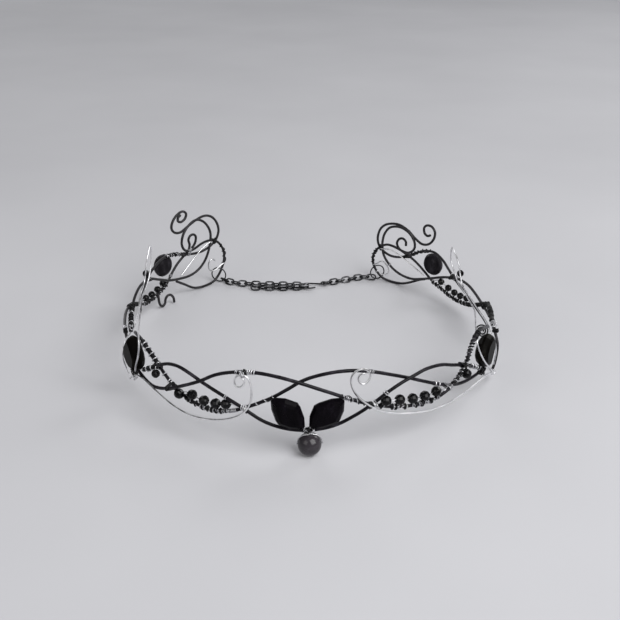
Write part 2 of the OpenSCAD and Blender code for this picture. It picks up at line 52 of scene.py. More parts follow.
# Thicknesses of the wires, sides of the silver ones, the gap where two wires cross, and how far
# off the ring the middles of the second black layer and of the silver wires over it lie.
BLACK_WIRE = 1.2
FRONT_WIRE = 1.27
SILVER_WIRE = 0.6
BRIGHT_WIRE = 0.7
DULL_WIRE = 0.64
THREAD_WIRE = 0.4
SILVER_SIDES = 12
WIRE_GAP = 0.1
LAYER = BLACK_WIRE + WIRE_GAP
SILVER_LAYER = LAYER + BLACK_WIRE / 2 + SILVER_WIRE / 2 + WIRE_GAP
METRES = 0.001


# ---------------------------------------------------------------- lines in space


def unit(vectors: Array) -> Array:
    """Vectors of length one, row by row."""
    return vectors / np.maximum(np.linalg.norm(vectors, axis=-1, keepdims=True), 1e-12)


def run_of(points: Array) -> Array:
    """Length run along a line of points, from 0 at its first point."""
    steps = np.linalg.norm(np.diff(points, axis=0), axis=1)
    return np.concatenate([[0.0], np.cumsum(steps)])


def cubic(a: Array, b: Array, c: Array, d: Array, t: Array) -> Array:
    """Catmull-Rom cubic from b to c, whose slope at each is half its two neighbours' difference.

    Args:
        a: Points before b.
        b: Points that the cubic leaves.
        c: Points that it reaches.
        d: Points after c.
        t: Shares of the way from b to c.

    Returns:
        The points at those shares.
    """
    return (b + t / 2 * (c - a) + t**2 / 2 * (2 * a - 5 * b + 4 * c - d)
            + t**3 / 2 * (3 * b - 3 * c + d - a))


def spline(points: Array, steps: int, closed: bool = False) -> Array:
    """Smooth curve through points: the Catmull-Rom cubic between each two of them.

    Args:
        points: Points that the curve passes through.
        steps: Number of steps between two of them.
        closed: Whether the last point runs back to the first.

    Returns:
        The curve's points, without a repeat of the first where it is closed.
    """
    table = np.asarray(points, float)
    count = len(table)
    spans = count if closed else count - 1
    places = np.arange(spans * steps + (0 if closed else 1)) / steps
    k = np.minimum(np.floor(places), spans - 1).astype(int)
    t = (places - k)[:, None]
    pick = [(k + s) % count if closed else np.clip(k + s, 0, count - 1) for s in (-1, 0, 1, 2)]
    return cubic(*(table[i] for i in pick), t)


@dataclass(frozen=True)
class Ring:
    """Oval ring that every wire follows. A bearing is 0 in front, 90 at the right, 180 behind."""

    half_right: float = 79.5
    half_left: float = 75.5
    half_depth: float = 81.5
    middle: tuple[float, float, float] = (-2.1, 5.6, 0.0)

    def away(self, bearings: Array) -> Array:
        """Level directions out of the ring at the bearings."""
        turn = np.radians(np.asarray(bearings, float))
        return np.stack([np.sin(turn), -np.cos(turn), np.zeros_like(turn)], axis=-1)

    def points(self, rows: Array) -> Array:
        """Points of the ring for rows of bearing, height and distance out.

        Args:
            rows: Array whose last axis holds bearing, height and distance out.

        Returns:
            Points: half the width times the bearing's sine, minus half the depth times its
            cosine, and the height, each half grown by the distance out.
        """
        table = np.asarray(rows, float)
        turn, out = np.radians(table[..., 0]), table[..., 2]
        half = np.where(np.sin(turn) >= 0, self.half_right, self.half_left) + out
        flat = np.stack([half * np.sin(turn), -(self.half_depth + out) * np.cos(turn),
                         table[..., 1]], axis=-1)
        return flat + np.array(self.middle)


RING = Ring()


@dataclass(frozen=True)
class Route:
    """Middle line of a wire: a smooth curve through rows of bearing, height and distance out."""

    rows: tuple[tuple[float, float, float], ...]
    out: float = 0.0

    def rows_at(self, places: Array) -> Array:
        """Rows at places: the cubic through the rows, whose ends stand for the rows past them.

        Args:
            places: Row numbers with their fractions.

        Returns:
            Bearing, height and distance out at each place.
        """
        table, last = np.array(self.rows, float), len(self.rows) - 1
        k = np.clip(np.floor(places), 0, last - 1).astype(int)
        t = (places - k)[:, None]
        return cubic(*(table[np.clip(k + s, 0, last)] for s in (-1, 0, 1, 2)), t)

    def points(self, places: Array, lift: float = 0.0) -> Array:
        """Points of the wire's middle line, raised out of the ring by lift."""
        return RING.points(self.rows_at(places) + np.array([0.0, 0.0, self.out + lift]))

    def away(self, places: Array) -> Array:
        """Directions out of the ring at the places."""
        return RING.away(self.rows_at(places)[:, 0])

    def along(self, places: Array) -> Array:
        """Directions of the wire at the places."""
        return unit(self.points(places + 0.05) - self.points(places - 0.05))

    def across(self, places: Array) -> Array:
        """Directions across the wire in the ring's surface, upwards where it runs level."""
        side = unit(np.cross(self.away(places), self.along(places)))
        return np.where(side[:, 2:] < 0, -side, side)

    def even(self, start: float, end: float, step: float) -> Array:
        """Places that lie an equal length apart: even lengths carried back to places.

        Args:
            start: First place.
            end: Last place.
            step: About how long each step is.

        Returns:
            The places.
        """
        fine = np.linspace(start, end, 600)
        run = run_of(self.points(fine))
        count = max(3, int(round(run[-1] / step)) + 1)
        return np.interp(np.linspace(0, run[-1], count), run, fine)

    def beside(self, place: float, offsets: Array, heading: Array) -> Array:
        """Points of the wire at lengths before and after a place.

        Args:
            place: The place.
            offsets: Lengths, less than nothing before the place.
            heading: Heading along which the lengths are counted.

        Returns:
            A point for each length.
        """
        fine = np.linspace(place - 2.0, place + 2.0, 401)
        fine = fine[(fine >= -0.2) & (fine <= len(self.rows) - 0.8)]
        line = self.points(fine)
        run = run_of(line)
        run = run - np.interp(place, fine, run)
        ways = self.along(np.array([place]))[0] @ heading
        lengths = offsets if ways >= 0 else -offsets
        return np.stack([np.interp(lengths, run, line[:, k]) for k in range(3)], axis=-1)


# Routes of the wires. Columns: bearing, height, distance out.
FRONT_LOWER = Route((
    (-58.8, 12, -2.1), (-57, 13.5, -1.6), (-54.5, 15.6, -0.9), (-51, 18.3, 0), (-46, 22.5, 0),
    (-42, 25.2, 0), (-38, 26.2, 0), (-34, 25.3, 0), (-29, 23, 0), (-23, 20, 0), (-18, 17, 0),
    (-12, 12.6, 0), (-6, 10.4, 0), (0, 10, 0), (6, 11.3, 0), (11, 14.3, 0), (16, 18.2, 0),
    (20, 21.8, 0), (24, 24.5, 0), (28, 26.2, 0), (32, 27.3, 0), (37, 26.6, 0), (42, 24, 0),
    (48, 20.7, 0), (52, 17.7, -0.3), (55.5, 15, -0.4), (58.5, 12.6, -0.5), (61, 10.4, -0.4),
))

RIGHT_RAIL = Route((
    (-56.2, 14, LAYER), (-53, 13.2, LAYER), (-49, 12.7, LAYER), (-45, 13.9, LAYER),
    (-41, 16.2, LAYER), (-36, 19.7, LAYER), (-30, 24.3, LAYER), (-25, 28.7, LAYER),
    (-20, 31.3, LAYER), (-14, 32.5, LAYER), (-8, 31.7, LAYER), (-2, 29.5, LAYER),
    (4, 26.3, LAYER), (9, 23.2, LAYER), (13, 20.7, LAYER), (17, 18.6, LAYER), (22, 16.4, LAYER),
    (27, 15, LAYER), (32, 14.3, LAYER), (36.5, 14.6, LAYER), (40.3, 16, LAYER), (44, 19, LAYER),
    (46.8, 22.5, LAYER), (48.8, 26.3, 0.8), (52.3, 29.6, 0), (58, 29.6, -1), (63.5, 26.8, -1.5),
    (68.5, 24, -1.5),
))

LEFT_RAIL = Route((
    (67.5, 5, -1), (62, 8, -LAYER), (56.5, 9.8, -LAYER), (49, 11.9, -LAYER), (44, 14, -LAYER),
    (38, 17.5, -LAYER), (32, 21.6, -LAYER), (27, 25, -LAYER), (22, 27.9, -LAYER),
    (17, 30.4, -LAYER), (12, 32, -LAYER), (7, 32.2, -LAYER), (2, 31, -LAYER),
    (-2, 28.9, -LAYER), (-6, 25.3, -LAYER), (-10, 21.7, -LAYER), (-15, 18, -LAYER),
    (-20, 14.7, -LAYER), (-25, 12.7, -LAYER), (-30.5, 12.2, -LAYER), (-36, 13.3, -LAYER),
    (-41, 15.7, -LAYER), (-45, 18.8, -LAYER), (-49.3, 22.3, -LAYER), (-53.5, 25.4, -1),
    (-57.5, 26.3, -1.4), (-62, 25.3, -2), (-66, 23.6, -2.6),
))

LEFT_TOP = Route((
    (-92.6, 14.9, -5), (-93.4, 14.9, -4.9), (-94.2, 14.9, -4.8), (-95, 15, -4.6),
    (-102, 15.5, -2.4), (-108, 17.5, -0.5), (-112, 20.2, 0.1), (-116, 22.4, 0), (-120, 23.9, 0),
    (-124, 24.1, 0), (-128, 22.9, 0), (-132, 21.2, 0), (-136, 19.8, 0), (-140, 19.5, 0),
    (-143.5, 20.7, 0), (-146.3, 23.3, 0), (-147.7, 27.5, 0), (-147.2, 31.8, 0),
    (-145.2, 35.6, 0), (-142, 37.2, 0), (-138, 36.2, 0), (-134, 34.2, 0), (-131, 32.9, 0),
    (-128.3, 33.7, 0), (-126.7, 36.3, 0), (-127.3, 39.3, 0), (-129.5, 41.8, 0),
    (-132.2, 42.7, 0), (-133.9, 41.2, 0), (-133.5, 39, 0), (-131.7, 37.8, 0), (-130.1, 38.6, 0),
    (-130.1, 40.3, 0), (-131.3, 41.2, 0),
))

LEFT_DIAGONAL = Route((
    (-68.5, 11, -3), (-69.5, 12.5, -2.4), (-71, 14, -1.6), (-73.5, 15.6, -0.8),
    (-77.5, 17.2, -0.6), (-83, 17.5, -0.4), (-89, 17, 0), (-94.5, 15.9, 0.5), (-100, 13.5, 1.2),
    (-105, 10.6, LAYER), (-110, 7.5, LAYER), (-115, 6.7, LAYER), (-119.5, 7.5, LAYER),
    (-123.3, 9.5, LAYER), (-126, 13, LAYER), (-129, 16.6, LAYER), (-132, 19.2, LAYER),
    (-134.8, 21.4, LAYER), (-135.6, 24.3, LAYER), (-135.2, 26.8, LAYER), (-136, 28.6, LAYER),
    (-137.4, 28.9, LAYER), (-138.5, 27.5, LAYER), (-138.3, 25, LAYER), (-137.5, 23.3, LAYER),
    (-136.6, 22.3, LAYER),
))

LEFT_END_LOOP = Route((
    (-74.5, 19.8, -2.8), (-79, 17.7, -3), (-84, 15, -2.7), (-88, 13.5, -2.2), (-92, 13.2, -1.3),
    (-96, 14.7, -0.7), (-100, 17.8, -0.6), (-105, 20.2, -1), (-111, 19.6, -LAYER),
    (-117, 16, -LAYER), (-123, 12.4, -LAYER), (-129, 10.4, -LAYER), (-133.6, 9.9, -LAYER),
    (-137.3, 11.1, -LAYER), (-140.2, 14, -LAYER), (-142.2, 18.2, -LAYER), (-143.3, 23, -LAYER),
    (-143.7, 28, -LAYER), (-142.5, 32.3, -LAYER), (-140.2, 35.6, -LAYER),
    (-137.2, 36.9, -LAYER), (-133.8, 35.1, -LAYER), (-131.2, 31.7, -LAYER),
    (-130.3, 27.5, -LAYER), (-131.5, 24, -LAYER), (-134.3, 22.4, -1), (-137.3, 22.4, -0.3),
    (-140.3, 23.2, 0.5), (-143.5, 23.4, LAYER), (-146.3, 22.8, LAYER), (-148.3, 20.6, LAYER),
    (-149.8, 17, LAYER), (-150.2, 13, LAYER), (-149.6, 9, LAYER), (-148, 4.6, LAYER),
    (-145.6, 1.6, 0.9), (-142.5, 0.75, 0.4), (-139, 0.8, 0.2), (-135.5, 2.1, 0.2),
    (-131.5, 5.7, 0.3), (-127.8, 9, 0.3),
))

RIGHT_TOP = Route((
    (83.4, 13.7, -1.1), (84.8, 12.9, -0.9), (86.5, 12, -0.7), (90, 10.8, -0.3), (96, 10.1, 0),
    (101, 10.5, 0), (105, 11.5, 0), (109, 12.7, 0), (113, 14.3, 0), (117, 16.6, 0),
    (120, 19.2, 0), (123, 22, 0), (127, 23.9, 0), (131, 23.1, 0), (134, 21.3, 0),
    (137, 18.8, 0), (140, 16.6, 0), (143, 15.2, 0), (146, 15.1, 0), (148.8, 16.8, 0),
    (150.7, 20, 0), (151, 24.2, 0), (149.9, 28.5, 0), (147.3, 31.3, 0), (143, 32.2, 0),
    (139, 30.3, 0), (136, 27.5, 0), (133, 25.8, 0), (130, 27, 0), (128, 30.3, 0),
    (127.6, 33.8, 0), (129, 36, 0), (131.2, 36, 0), (132.5, 34.3, 0), (132.2, 31.8, 0),
    (130.9, 30.8, 0), (129.6, 31.6, 0),
))

RIGHT_DIAGONAL = Route((
    (74, 1, 1.7), (75, 4.2, 2.4), (76, 7.8, 2.7), (77, 11.2, 2.5), (78.5, 14.6, 1.3),
    (82, 17, 0), (86.5, 18.7, 0), (91.5, 18.2, 0.4), (96, 15.8, 0.9), (100, 13, LAYER),
    (105, 9.4, LAYER), (110, 6.7, LAYER), (115.4, 5.3, LAYER), (119.8, 5.5, LAYER),
    (123.8, 6.8, LAYER), (127.8, 8.2, LAYER), (131.2, 11, LAYER), (134, 13.5, LAYER),
    (137, 15.8, LAYER), (139.8, 17.4, LAYER), (142.8, 19.2, LAYER), (143.9, 21.8, LAYER),
    (143.1, 24.3, LAYER), (141.6, 25, LAYER), (140.4, 23.8, LAYER), (140.3, 21.8, LAYER),
))

RIGHT_END_LOOP = Route((
    (88, 15.5, 0), (89.2, 15.3, 0.1), (90.5, 15.2, 0.1), (92, 15.4, 0), (95, 16, -0.5),
    (101, 17.8, -1.2), (106.5, 18.7, -LAYER), (112, 18.2, -LAYER), (117, 16.5, -LAYER),
    (122, 14, -LAYER), (127, 11, -LAYER), (132, 8.3, -LAYER), (136, 6.7, -LAYER),
    (140, 6.9, -LAYER), (143.5, 8.7, -LAYER), (146.3, 11.8, -LAYER), (148, 15.2, -LAYER),
    (148.6, 18.5, -LAYER), (148.7, 22.4, -LAYER), (147.9, 26.8, -LAYER), (145.8, 30.4, -LAYER),
    (142, 31.6, -LAYER), (138.4, 30.2, -LAYER), (136, 27.2, -LAYER), (135.3, 24, -LAYER),
    (136.1, 21.4, -LAYER), (138.1, 19.6, -1.1), (140.5, 19.4, -0.8), (143, 20, -0.4),
    (145.5, 20.4, 0.1), (148, 19.8, 1.2), (150.5, 17.8, LAYER), (152.3, 14.8, LAYER),
    (153, 11.5, LAYER), (152.7, 8, LAYER), (151.2, 4.3, LAYER), (149, 1.6, LAYER),
    (146.4, 0.75, LAYER), (143, 0.75, LAYER), (140, 1.7, LAYER), (136.8, 3.9, 1),
    (133.3, 6.7, 0.7), (130.8, 8.3, 0.2),
))

HANGING_SCROLL = Route((
    (-117.2, 8.2, 0), (-117.4, 5, 0), (-118, 2.2, 0), (-119.4, 0.75, 0), (-120.8, 1.3, 0),
    (-121, 3.3, -0.2), (-121.9, 4.8, -0.6), (-123.2, 4.7, -1.2), (-124, 3, -1.8),
    (-124, 0.8, -2.2),
))

LEFT_SWAG = Route((
    (-17.6, 30.4, 0), (-16.7, 29.6, 0), (-16.8, 27.8, 0), (-17.9, 26.4, 0), (-19, 27.1, 0),
    (-19.2, 29, 0), (-18.4, 30.8, 0), (-16.9, 31.5, 0), (-15.6, 30.6, 0), (-14.9, 28, 0),
    (-14.7, 24.6, 0), (-15.1, 21, 0), (-16.2, 17.8, 0), (-18.5, 14.8, 0), (-22, 12.3, 0),
    (-27, 10.4, 0), (-33, 9.5, 0), (-38.5, 10.3, 0), (-44, 12, 0), (-50, 13.6, 0),
    (-55, 13.2, 0), (-59, 10.6, 0), (-62, 7, 0),
), out=SILVER_LAYER)

RIGHT_SWAG = Route((
    (13.4, 32.5, 0), (12.4, 32.5, 0), (11.8, 31.2, 0), (12, 29.6, 0), (12.9, 28.5, 0),
    (14, 29.1, 0), (14.7, 31, 0), (14.3, 33.2, 0), (12.9, 34.4, 0), (11.3, 34, 0),
    (10.2, 32.2, 0), (10, 29.6, 0), (10.7, 26.3, 0), (12.3, 22.9, 0), (14.8, 19.6, 0),
    (18, 16.5, 0), (22, 14.3, 0), (27, 12.5, 0), (32.5, 11, 0), (38, 10.5, 0), (44.5, 10.6, 0),
    (51, 10.8, 0), (57.5, 10, 0), (63, 7.4, 0), (69, 2.4, 0),
), out=SILVER_LAYER)

LEFT_FRAME = Route((
    (-61.5, 6.5, 0.8), (-59.3, 10.5, 1.4), (-57, 15.5, 2.1), (-55.9, 20.5, 1.4),
    (-56, 24.6, 0.6), (-58.5, 27.8, -0.9), (-66, 26.8, -4.5), (-76, 24.5, -6.8),
    (-88, 21, -6.2), (-97, 18.9, -3.9), (-102.5, 19.5, -2.7), (-105.6, 21.7, -2.4),
    (-107.3, 26, -2.4), (-109, 31, -2.4), (-111.6, 35.6, -2.4), (-111.9, 32, -2.4),
    (-111.2, 27, -2.4), (-109, 21.5, -2.5), (-105, 18.2, -2.8), (-99, 17.6, -4), (-93, 17, -5),
    (-88, 16.1, -5), (-82.5, 15.5, -4.3), (-76.5, 16.3, -2.6), (-71, 17.7, 0),
    (-68.2, 17.6, 1.6), (-66.8, 15.5, 2.7), (-66.3, 12.8, 2.9), (-65.3, 10, 2.5), (-63.8, 8, 2),
))

RIGHT_FRAME = Route((
    (70.5, 2.4, 2.1), (66, 6.6, 2.1), (61, 11.7, 2.9), (57.3, 16.2, 2.7), (55.1, 20.8, 1.7),
    (54, 24.8, 0.7), (54.5, 27.2, -0.5), (57.5, 28.2, -2.6), (65, 26.6, -5.7), (76, 23, -7.5),
    (88, 18.8, -6.8), (98, 16, -5), (105.5, 15.8, -3.5), (110.5, 17.3, -3.1), (114, 20.8, -2.6),
    (116.8, 25.5, -2.4), (117, 31.6, -2.4), (114.8, 29.8, -2.4), (112.2, 26, -2.4),
    (110.8, 21.5, -2.4), (108.5, 17.1, -2.4), (103.5, 15.2, -2.4), (97.5, 14.3, -2.6),
    (91.5, 14.6, -2.7), (86, 15.3, -2.3), (80, 16.6, -1.9), (75, 17.6, -1.1), (71.5, 17.4, 0.3),
    (70.2, 16, 1.8), (70.2, 13, 2.4), (71, 8.7, 2.3), (72, 4.9, 2),
))

LEFT_BRACE = Route((
    (-128.5, 12.5, 0), (-133, 16.4, 0), (-136.5, 19.8, 0), (-139.7, 22.4, 0), (-143, 24.2, 0),
), out=-SILVER_LAYER)

RIGHT_BRACE = Route((
    (130, 11.3, 0), (133.5, 13.2, 0), (137.3, 15.2, 0), (141, 17.4, 0), (145, 19, 0),
    (149, 18.6, 0),
), out=-SILVER_LAYER)

LEFT_CURL = Route((
    (-149.5, 10, 0.3), (-147.6, 8.8, 0.2), (-145.7, 7.6, 0), (-143.9, 7.8, 0), (-143, 9.6, 0),
    (-143.1, 12.3, 0), (-144.4, 14, 0), (-145.8, 12.6, 0),
))

RIGHT_CURL = Route((
    (152.4, 8.2, 0.3), (151, 9.2, 0.1), (149.5, 10.8, 0), (148, 10.6, 0), (146.4, 8, 0),
    (146.3, 5.6, 0), (147.8, 4.2, 0), (149, 4.1, 0),
))


# ---------------------------------------------------------------- surfaces


@dataclass
class Surface:
    """Points, faces of four and three corners, and the faces' corner coordinates."""

    points: Array
    fours: Array
    threes: Array
    fours_uv: Array
    threes_uv: Array

    @staticmethod
    def joined(parts: "list[Surface]") -> "Surface":
        """One surface of several, their points counted on.

        Args:
            parts: The surfaces.

        Returns:
            All of them as one.
        """
        starts = np.concatenate([[0], np.cumsum([len(p.points) for p in parts])[:-1]])
        return Surface(
            np.concatenate([p.points for p in parts]),
            np.concatenate([p.fours + s for p, s in zip(parts, starts)]),
            np.concatenate([p.threes + s for p, s in zip(parts, starts)]),
            np.concatenate([p.fours_uv for p in parts]),
            np.concatenate([p.threes_uv for p in parts]))


def grid_surface(grid: Array, across: Array, along: Array, loop: bool, poles: bool) -> Surface:
    """Surface on a grid of points whose rows are closed rings.

    A face joins points j and j + 1 of ring k with those of ring k + 1.

    Args:
        grid: Points by ring and by place round it, counterclockwise against the way along.
        across: Second coordinate of each place round a ring, one more than the places.
        along: First coordinate of each ring, one more than the rings where they close a loop.
        loop: Whether the last ring joins the first.
        poles: Whether each end is closed by a fan to the middle of its ring.

    Returns:
        The surface, its faces pointing outwards.
    """
    rings, sides = grid.shape[:2]
    spans = rings if loop else rings - 1
    k, j = (a.ravel() for a in np.meshgrid(np.arange(spans), np.arange(sides), indexing="ij"))
    k2, j2 = (k + 1) % rings, (j + 1) % sides
    fours = np.stack([k * sides + j, k * sides + j2, k2 * sides + j2, k2 * sides + j], axis=1)
    fours_uv = np.stack([np.stack([along[k], across[j]], 1), np.stack([along[k], across[j + 1]], 1),
                         np.stack([along[k + 1], across[j + 1]], 1),
                         np.stack([along[k + 1], across[j]], 1)], axis=1)
    points = grid.reshape(-1, 3)
    threes = np.zeros((0, 3), int)
    threes_uv = np.zeros((0, 3, 2))
    if poles and not loop:
        ends = np.stack([grid[0].mean(0), grid[-1].mean(0)])
        j = np.arange(sides)
        j2 = (j + 1) % sides
        base, last = len(points), (rings - 1) * sides
        threes = np.concatenate([
            np.stack([np.full(sides, base), j2, j], axis=1),
            np.stack([np.full(sides, base + 1), last + j, last + j2], axis=1)])
        flat = np.stack([across[j], across[j + 1]], axis=1)
        threes_uv = np.concatenate([
            np.stack([np.stack([np.full(sides, u), flat.mean(1)], 1),
                      np.stack([np.full(sides, u), flat[:, a]], 1),
                      np.stack([np.full(sides, u), flat[:, b]], 1)], axis=1)
            for u, a, b in ((along[0], 1, 0), (along[-1], 0, 1))])
        points = np.concatenate([points, ends])
    return Surface(points, fours, threes, fours_uv, threes_uv)


# Rings past a cut end: the turn of each in degrees, and the reach at 90 degrees in half sizes.
DOME_TURNS = (80, 55, 28)
DOME_REACH = 0.4


def circle(sides: int) -> Array:
    """Angles of a circle's equal sides, in radians."""
    return np.arange(sides) * 2 * math.pi / sides


def tube(line: Array, sideways: Array, size: "float | Array", sides: int, closed: bool = False,
         uneven: float = 0.0) -> Surface:
    """Round wire along a line, its cut ends domed.

    Each ring is the line's point plus half the size times (cosine of the angle times one
    cross direction plus its sine times the other). Past an open end three smaller rings
    round it off: the shrink is a cosine and the reach a sine of the same angle.

    Args:
        line: Points of the middle line.
        sideways: A direction off the line at each point, which keeps the rings from twisting.
        size: Thickness, the same all along or one for each point.
        sides: Number of sides.
        closed: Whether the line closes on itself.
        uneven: Share by which the thickness wanders, as hand-bent wire shows.

    Returns:
        The wire's surface. Its first coordinate runs along it in millimetres.
    """
    half = np.broadcast_to(np.asarray(size, float) / 2, (len(line),)).copy()
    if closed:
        heading = unit(np.roll(line, -1, 0) - np.roll(line, 1, 0))
        last = run_of(line)[-1] + np.linalg.norm(line[0] - line[-1])
        run = np.concatenate([run_of(line), [last]])
    else:
        heading = unit(np.gradient(line, axis=0))
        run = run_of(line)
    if uneven:
        half *= 1 + uneven * (np.sin(run[:len(line)] * 0.9) + np.sin(run[:len(line)] * 2.3 + 1))
    if not closed:
        bend, rings = np.radians(DOME_TURNS), len(DOME_TURNS)
        reach, shrink = DOME_REACH * np.sin(bend), np.cos(bend)
        line = np.concatenate([line[:1] - np.outer(reach * half[0], heading[0]), line,
                               line[-1:] + np.outer(reach[::-1] * half[-1], heading[-1])])
        run = run_of(line)
        half = np.concatenate([half[0] * shrink, half, half[-1] * shrink[::-1]])
        heading, sideways = (np.concatenate([rows[:1]] * rings + [rows] + [rows[-1:]] * rings)
                             for rows in (heading, sideways))
    first = unit(np.cross(heading, sideways))
    second = np.cross(heading, first)
    angle = circle(sides)[None, :, None]
    grid = line[:, None] + half[:, None, None] * (
        np.cos(angle) * first[:, None] + np.sin(angle) * second[:, None])
    around = np.arange(sides + 1) / sides * math.pi * float(half.max()) * 2
    return grid_surface(grid, around, run, closed, True)


def turned(profile: Array, sides: int) -> Surface:
    """Drilled body turned round its own z axis from a closed profile of radius and height rows.

    Args:
        profile: Rows of radius and height, which run up outside and back down through the hole.
        sides: Number of sides.

    Returns:
        The body's surface.
    """
    flat = np.stack([np.cos(circle(sides)), np.sin(circle(sides))], axis=-1)
    heights = np.broadcast_to(profile[:, 1][:, None, None], (len(profile), sides, 1))
    grid = np.concatenate([profile[:, 0][:, None, None] * flat, heights], axis=-1)
    along = run_of(np.concatenate([profile, profile[:1]]))
    around = np.arange(sides + 1) / sides * float(profile[:, 0].max()) * 2 * math.pi
    return grid_surface(grid, around, along, True, False)


def placed(surface: Surface, matrix: Array) -> Surface:
    """The surface moved by a matrix of three rows and four columns."""
    points = surface.points @ matrix[:, :3].T + matrix[:, 3]
    return Surface(points, surface.fours, surface.threes, surface.fours_uv, surface.threes_uv)


def facing(direction: Array, near: Array, at: Array) -> Array:
    """Matrix that turns the z axis to a direction and the x axis towards another.

    Args:
        direction: Where the z axis turns.
        near: What the x axis keeps as near to as it can.
        at: Where the middle goes.

    Returns:
        Three rows and four columns.
    """
    z = unit(np.asarray(direction, float))
    x = unit(near - (near @ z) * z)
    return np.column_stack([x, np.cross(z, x), z, at])


# ---------------------------------------------------------------- finishes


Colour = tuple[float, float, float]
Stops = tuple[tuple[float, Colour], ...]
# Tone of the painted shade on a silver wire's two flanks, which stands for the dark edges that a
# round metal wire shows.
EDGE_SHADE_TONE = (0.04, 0.038, 0.036)


class Shader:
    """Node graph of one material, with a Principled shader at its end."""

    def __init__(self, name: str) -> None:
        """Starts the material with a Principled shader and its output.

        Args:
            name: The material's name.
        """
        self.material = bpy.data.materials.new(name)
        self.material.use_nodes = True
        self.tree = self.material.node_tree
        self.tree.nodes.clear()
        self.surface = self.add("ShaderNodeBsdfPrincipled")
        end = self.add("ShaderNodeOutputMaterial")
        self.tree.links.new(self.surface.outputs["BSDF"], end.inputs["Surface"])

    def add(self, kind: str, **settings: object) -> bpy.types.Node:
        """Adds a node.

        Args:
            kind: The node's type.
            settings: Its settings.

        Returns:
            The node.
        """
        node = self.tree.nodes.new(kind)
        for key, value in settings.items():
            setattr(node, key, value)
        return node

    def set(self, node: bpy.types.Node, **values: object) -> bpy.types.Node:
        """Sets or links a node's inputs.

        Args:
            node: The node.
            values: Values or sockets by input, with _ for a space in its name.

        Returns:
            The node.
        """
        for key, value in values.items():
            socket = node.inputs[key.replace("_", " ")]
            if isinstance(value, bpy.types.NodeSocket):
                self.tree.links.new(value, socket)
            else:
                socket.default_value = value
        return node

    def place(self, stretch: tuple[float, float, float] = (1, 1, 1),
              wire: bool = False) -> bpy.types.NodeSocket:
        """Position for a pattern: Object coordinates, or the wire's own length and girth.

        Args:
            stretch: Scale along each axis.
            wire: Whether the wire's own coordinates count.

        Returns:
            The position.
        """
        source = (self.add("ShaderNodeUVMap", uv_map="wire") if wire
                  else self.add("ShaderNodeTexCoord"))
        mapping = self.add("ShaderNodeMapping")
        mapping.inputs["Scale"].default_value = stretch
        self.tree.links.new(source.outputs["UV" if wire else "Object"], mapping.inputs["Vector"])
        return mapping.outputs["Vector"]

    def noise(self, place: bpy.types.NodeSocket, scale: float, detail: float = 3.0,
              rough: float = 0.55) -> bpy.types.NodeSocket:
        """Cloudy noise at a place.

        Args:
            place: The position.
            scale: How fine it is.
            detail: Its layers.
            rough: How strong the finer layers are.

        Returns:
            The noise.
        """
        node = self.add("ShaderNodeTexNoise")
        self.set(node, Vector=place, Scale=scale, Detail=detail, Roughness=rough)
        return node.outputs["Fac"]

    def colours(self, amount: bpy.types.NodeSocket, stops: Stops) -> bpy.types.NodeSocket:
        """Colour ramp over an amount.

        Args:
            amount: The amount.
            stops: Places on the ramp and their colours.

        Returns:
            The colour.
        """
        node = self.add("ShaderNodeValToRGB")
        ramp = node.color_ramp
        while len(ramp.elements) < len(stops):
            ramp.elements.new(0.5)
        for element, (at, colour) in zip(ramp.elements, stops):
            element.position, element.color = at, (*colour, 1.0)
        self.tree.links.new(amount, node.inputs["Fac"])
        return node.outputs["Color"]

    def span(self, amount: bpy.types.NodeSocket, low: float, high: float,
             start: float = 0.3, end: float = 0.7) -> bpy.types.NodeSocket:
        """Amount carried from one span to another.

        Args:
            amount: The amount.
            low: What start becomes.
            high: What end becomes.
            start: Start of the first span.
            end: End of it.

        Returns:
            The new amount.
        """
        node = self.add("ShaderNodeMapRange")
        self.set(node, Value=amount, From_Min=start, From_Max=end, To_Min=low, To_Max=high)
        return node.outputs["Result"]

    def sum(self, first: bpy.types.NodeSocket, second: bpy.types.NodeSocket,
            share: float) -> bpy.types.NodeSocket:
        """First amount plus a share of the second.

        Args:
            first: First amount.
            second: Second amount.
            share: The share.

        Returns:
            The sum.
        """
        node = self.add("ShaderNodeMath", operation="MULTIPLY_ADD")
        self.tree.links.new(second, node.inputs[0])
        node.inputs[1].default_value = share
        self.tree.links.new(first, node.inputs[2])
        return node.outputs["Value"]

    def flanks(self, size: float) -> bpy.types.NodeSocket:
        """Minus one on a wire's upper and lower flank, nothing on its two faces: the mask of the
        painted edge shade.

        The angle round the wire is twice the girth coordinate over the size: the result is half of
        minus one minus the cosine of twice that angle.

        Args:
            size: The wire's thickness in millimetres.

        Returns:
            The amount.
        """
        split = self.add("ShaderNodeSeparateXYZ")
        turn, wave, share = (self.add("ShaderNodeMath", operation=kind)
                             for kind in ("MULTIPLY", "COSINE", "MULTIPLY_ADD"))
        turn.inputs[1].default_value = 4.0 / size
        share.inputs[1].default_value, share.inputs[2].default_value = -0.5, -0.5
        for outlet, inlet in (
                (self.place(wire=True), split.inputs[0]), (split.outputs["Y"], turn.inputs[0]),
                (turn.outputs[0], wave.inputs[0]), (wave.outputs[0], share.inputs[0])):
            self.tree.links.new(outlet, inlet)
        return share.outputs[0]

    def relief(self, height: bpy.types.NodeSocket, depth_mm: float, strength: float) -> None:
        """Bump on the shader's normal.

        Args:
            height: Height of the pattern.
            depth_mm: Its depth.
            strength: Its strength.
        """
        node = self.add("ShaderNodeBump")
        self.set(node, Height=height, Strength=strength, Distance=depth_mm * METRES)
        self.tree.links.new(node.outputs["Normal"], self.surface.inputs["Normal"])


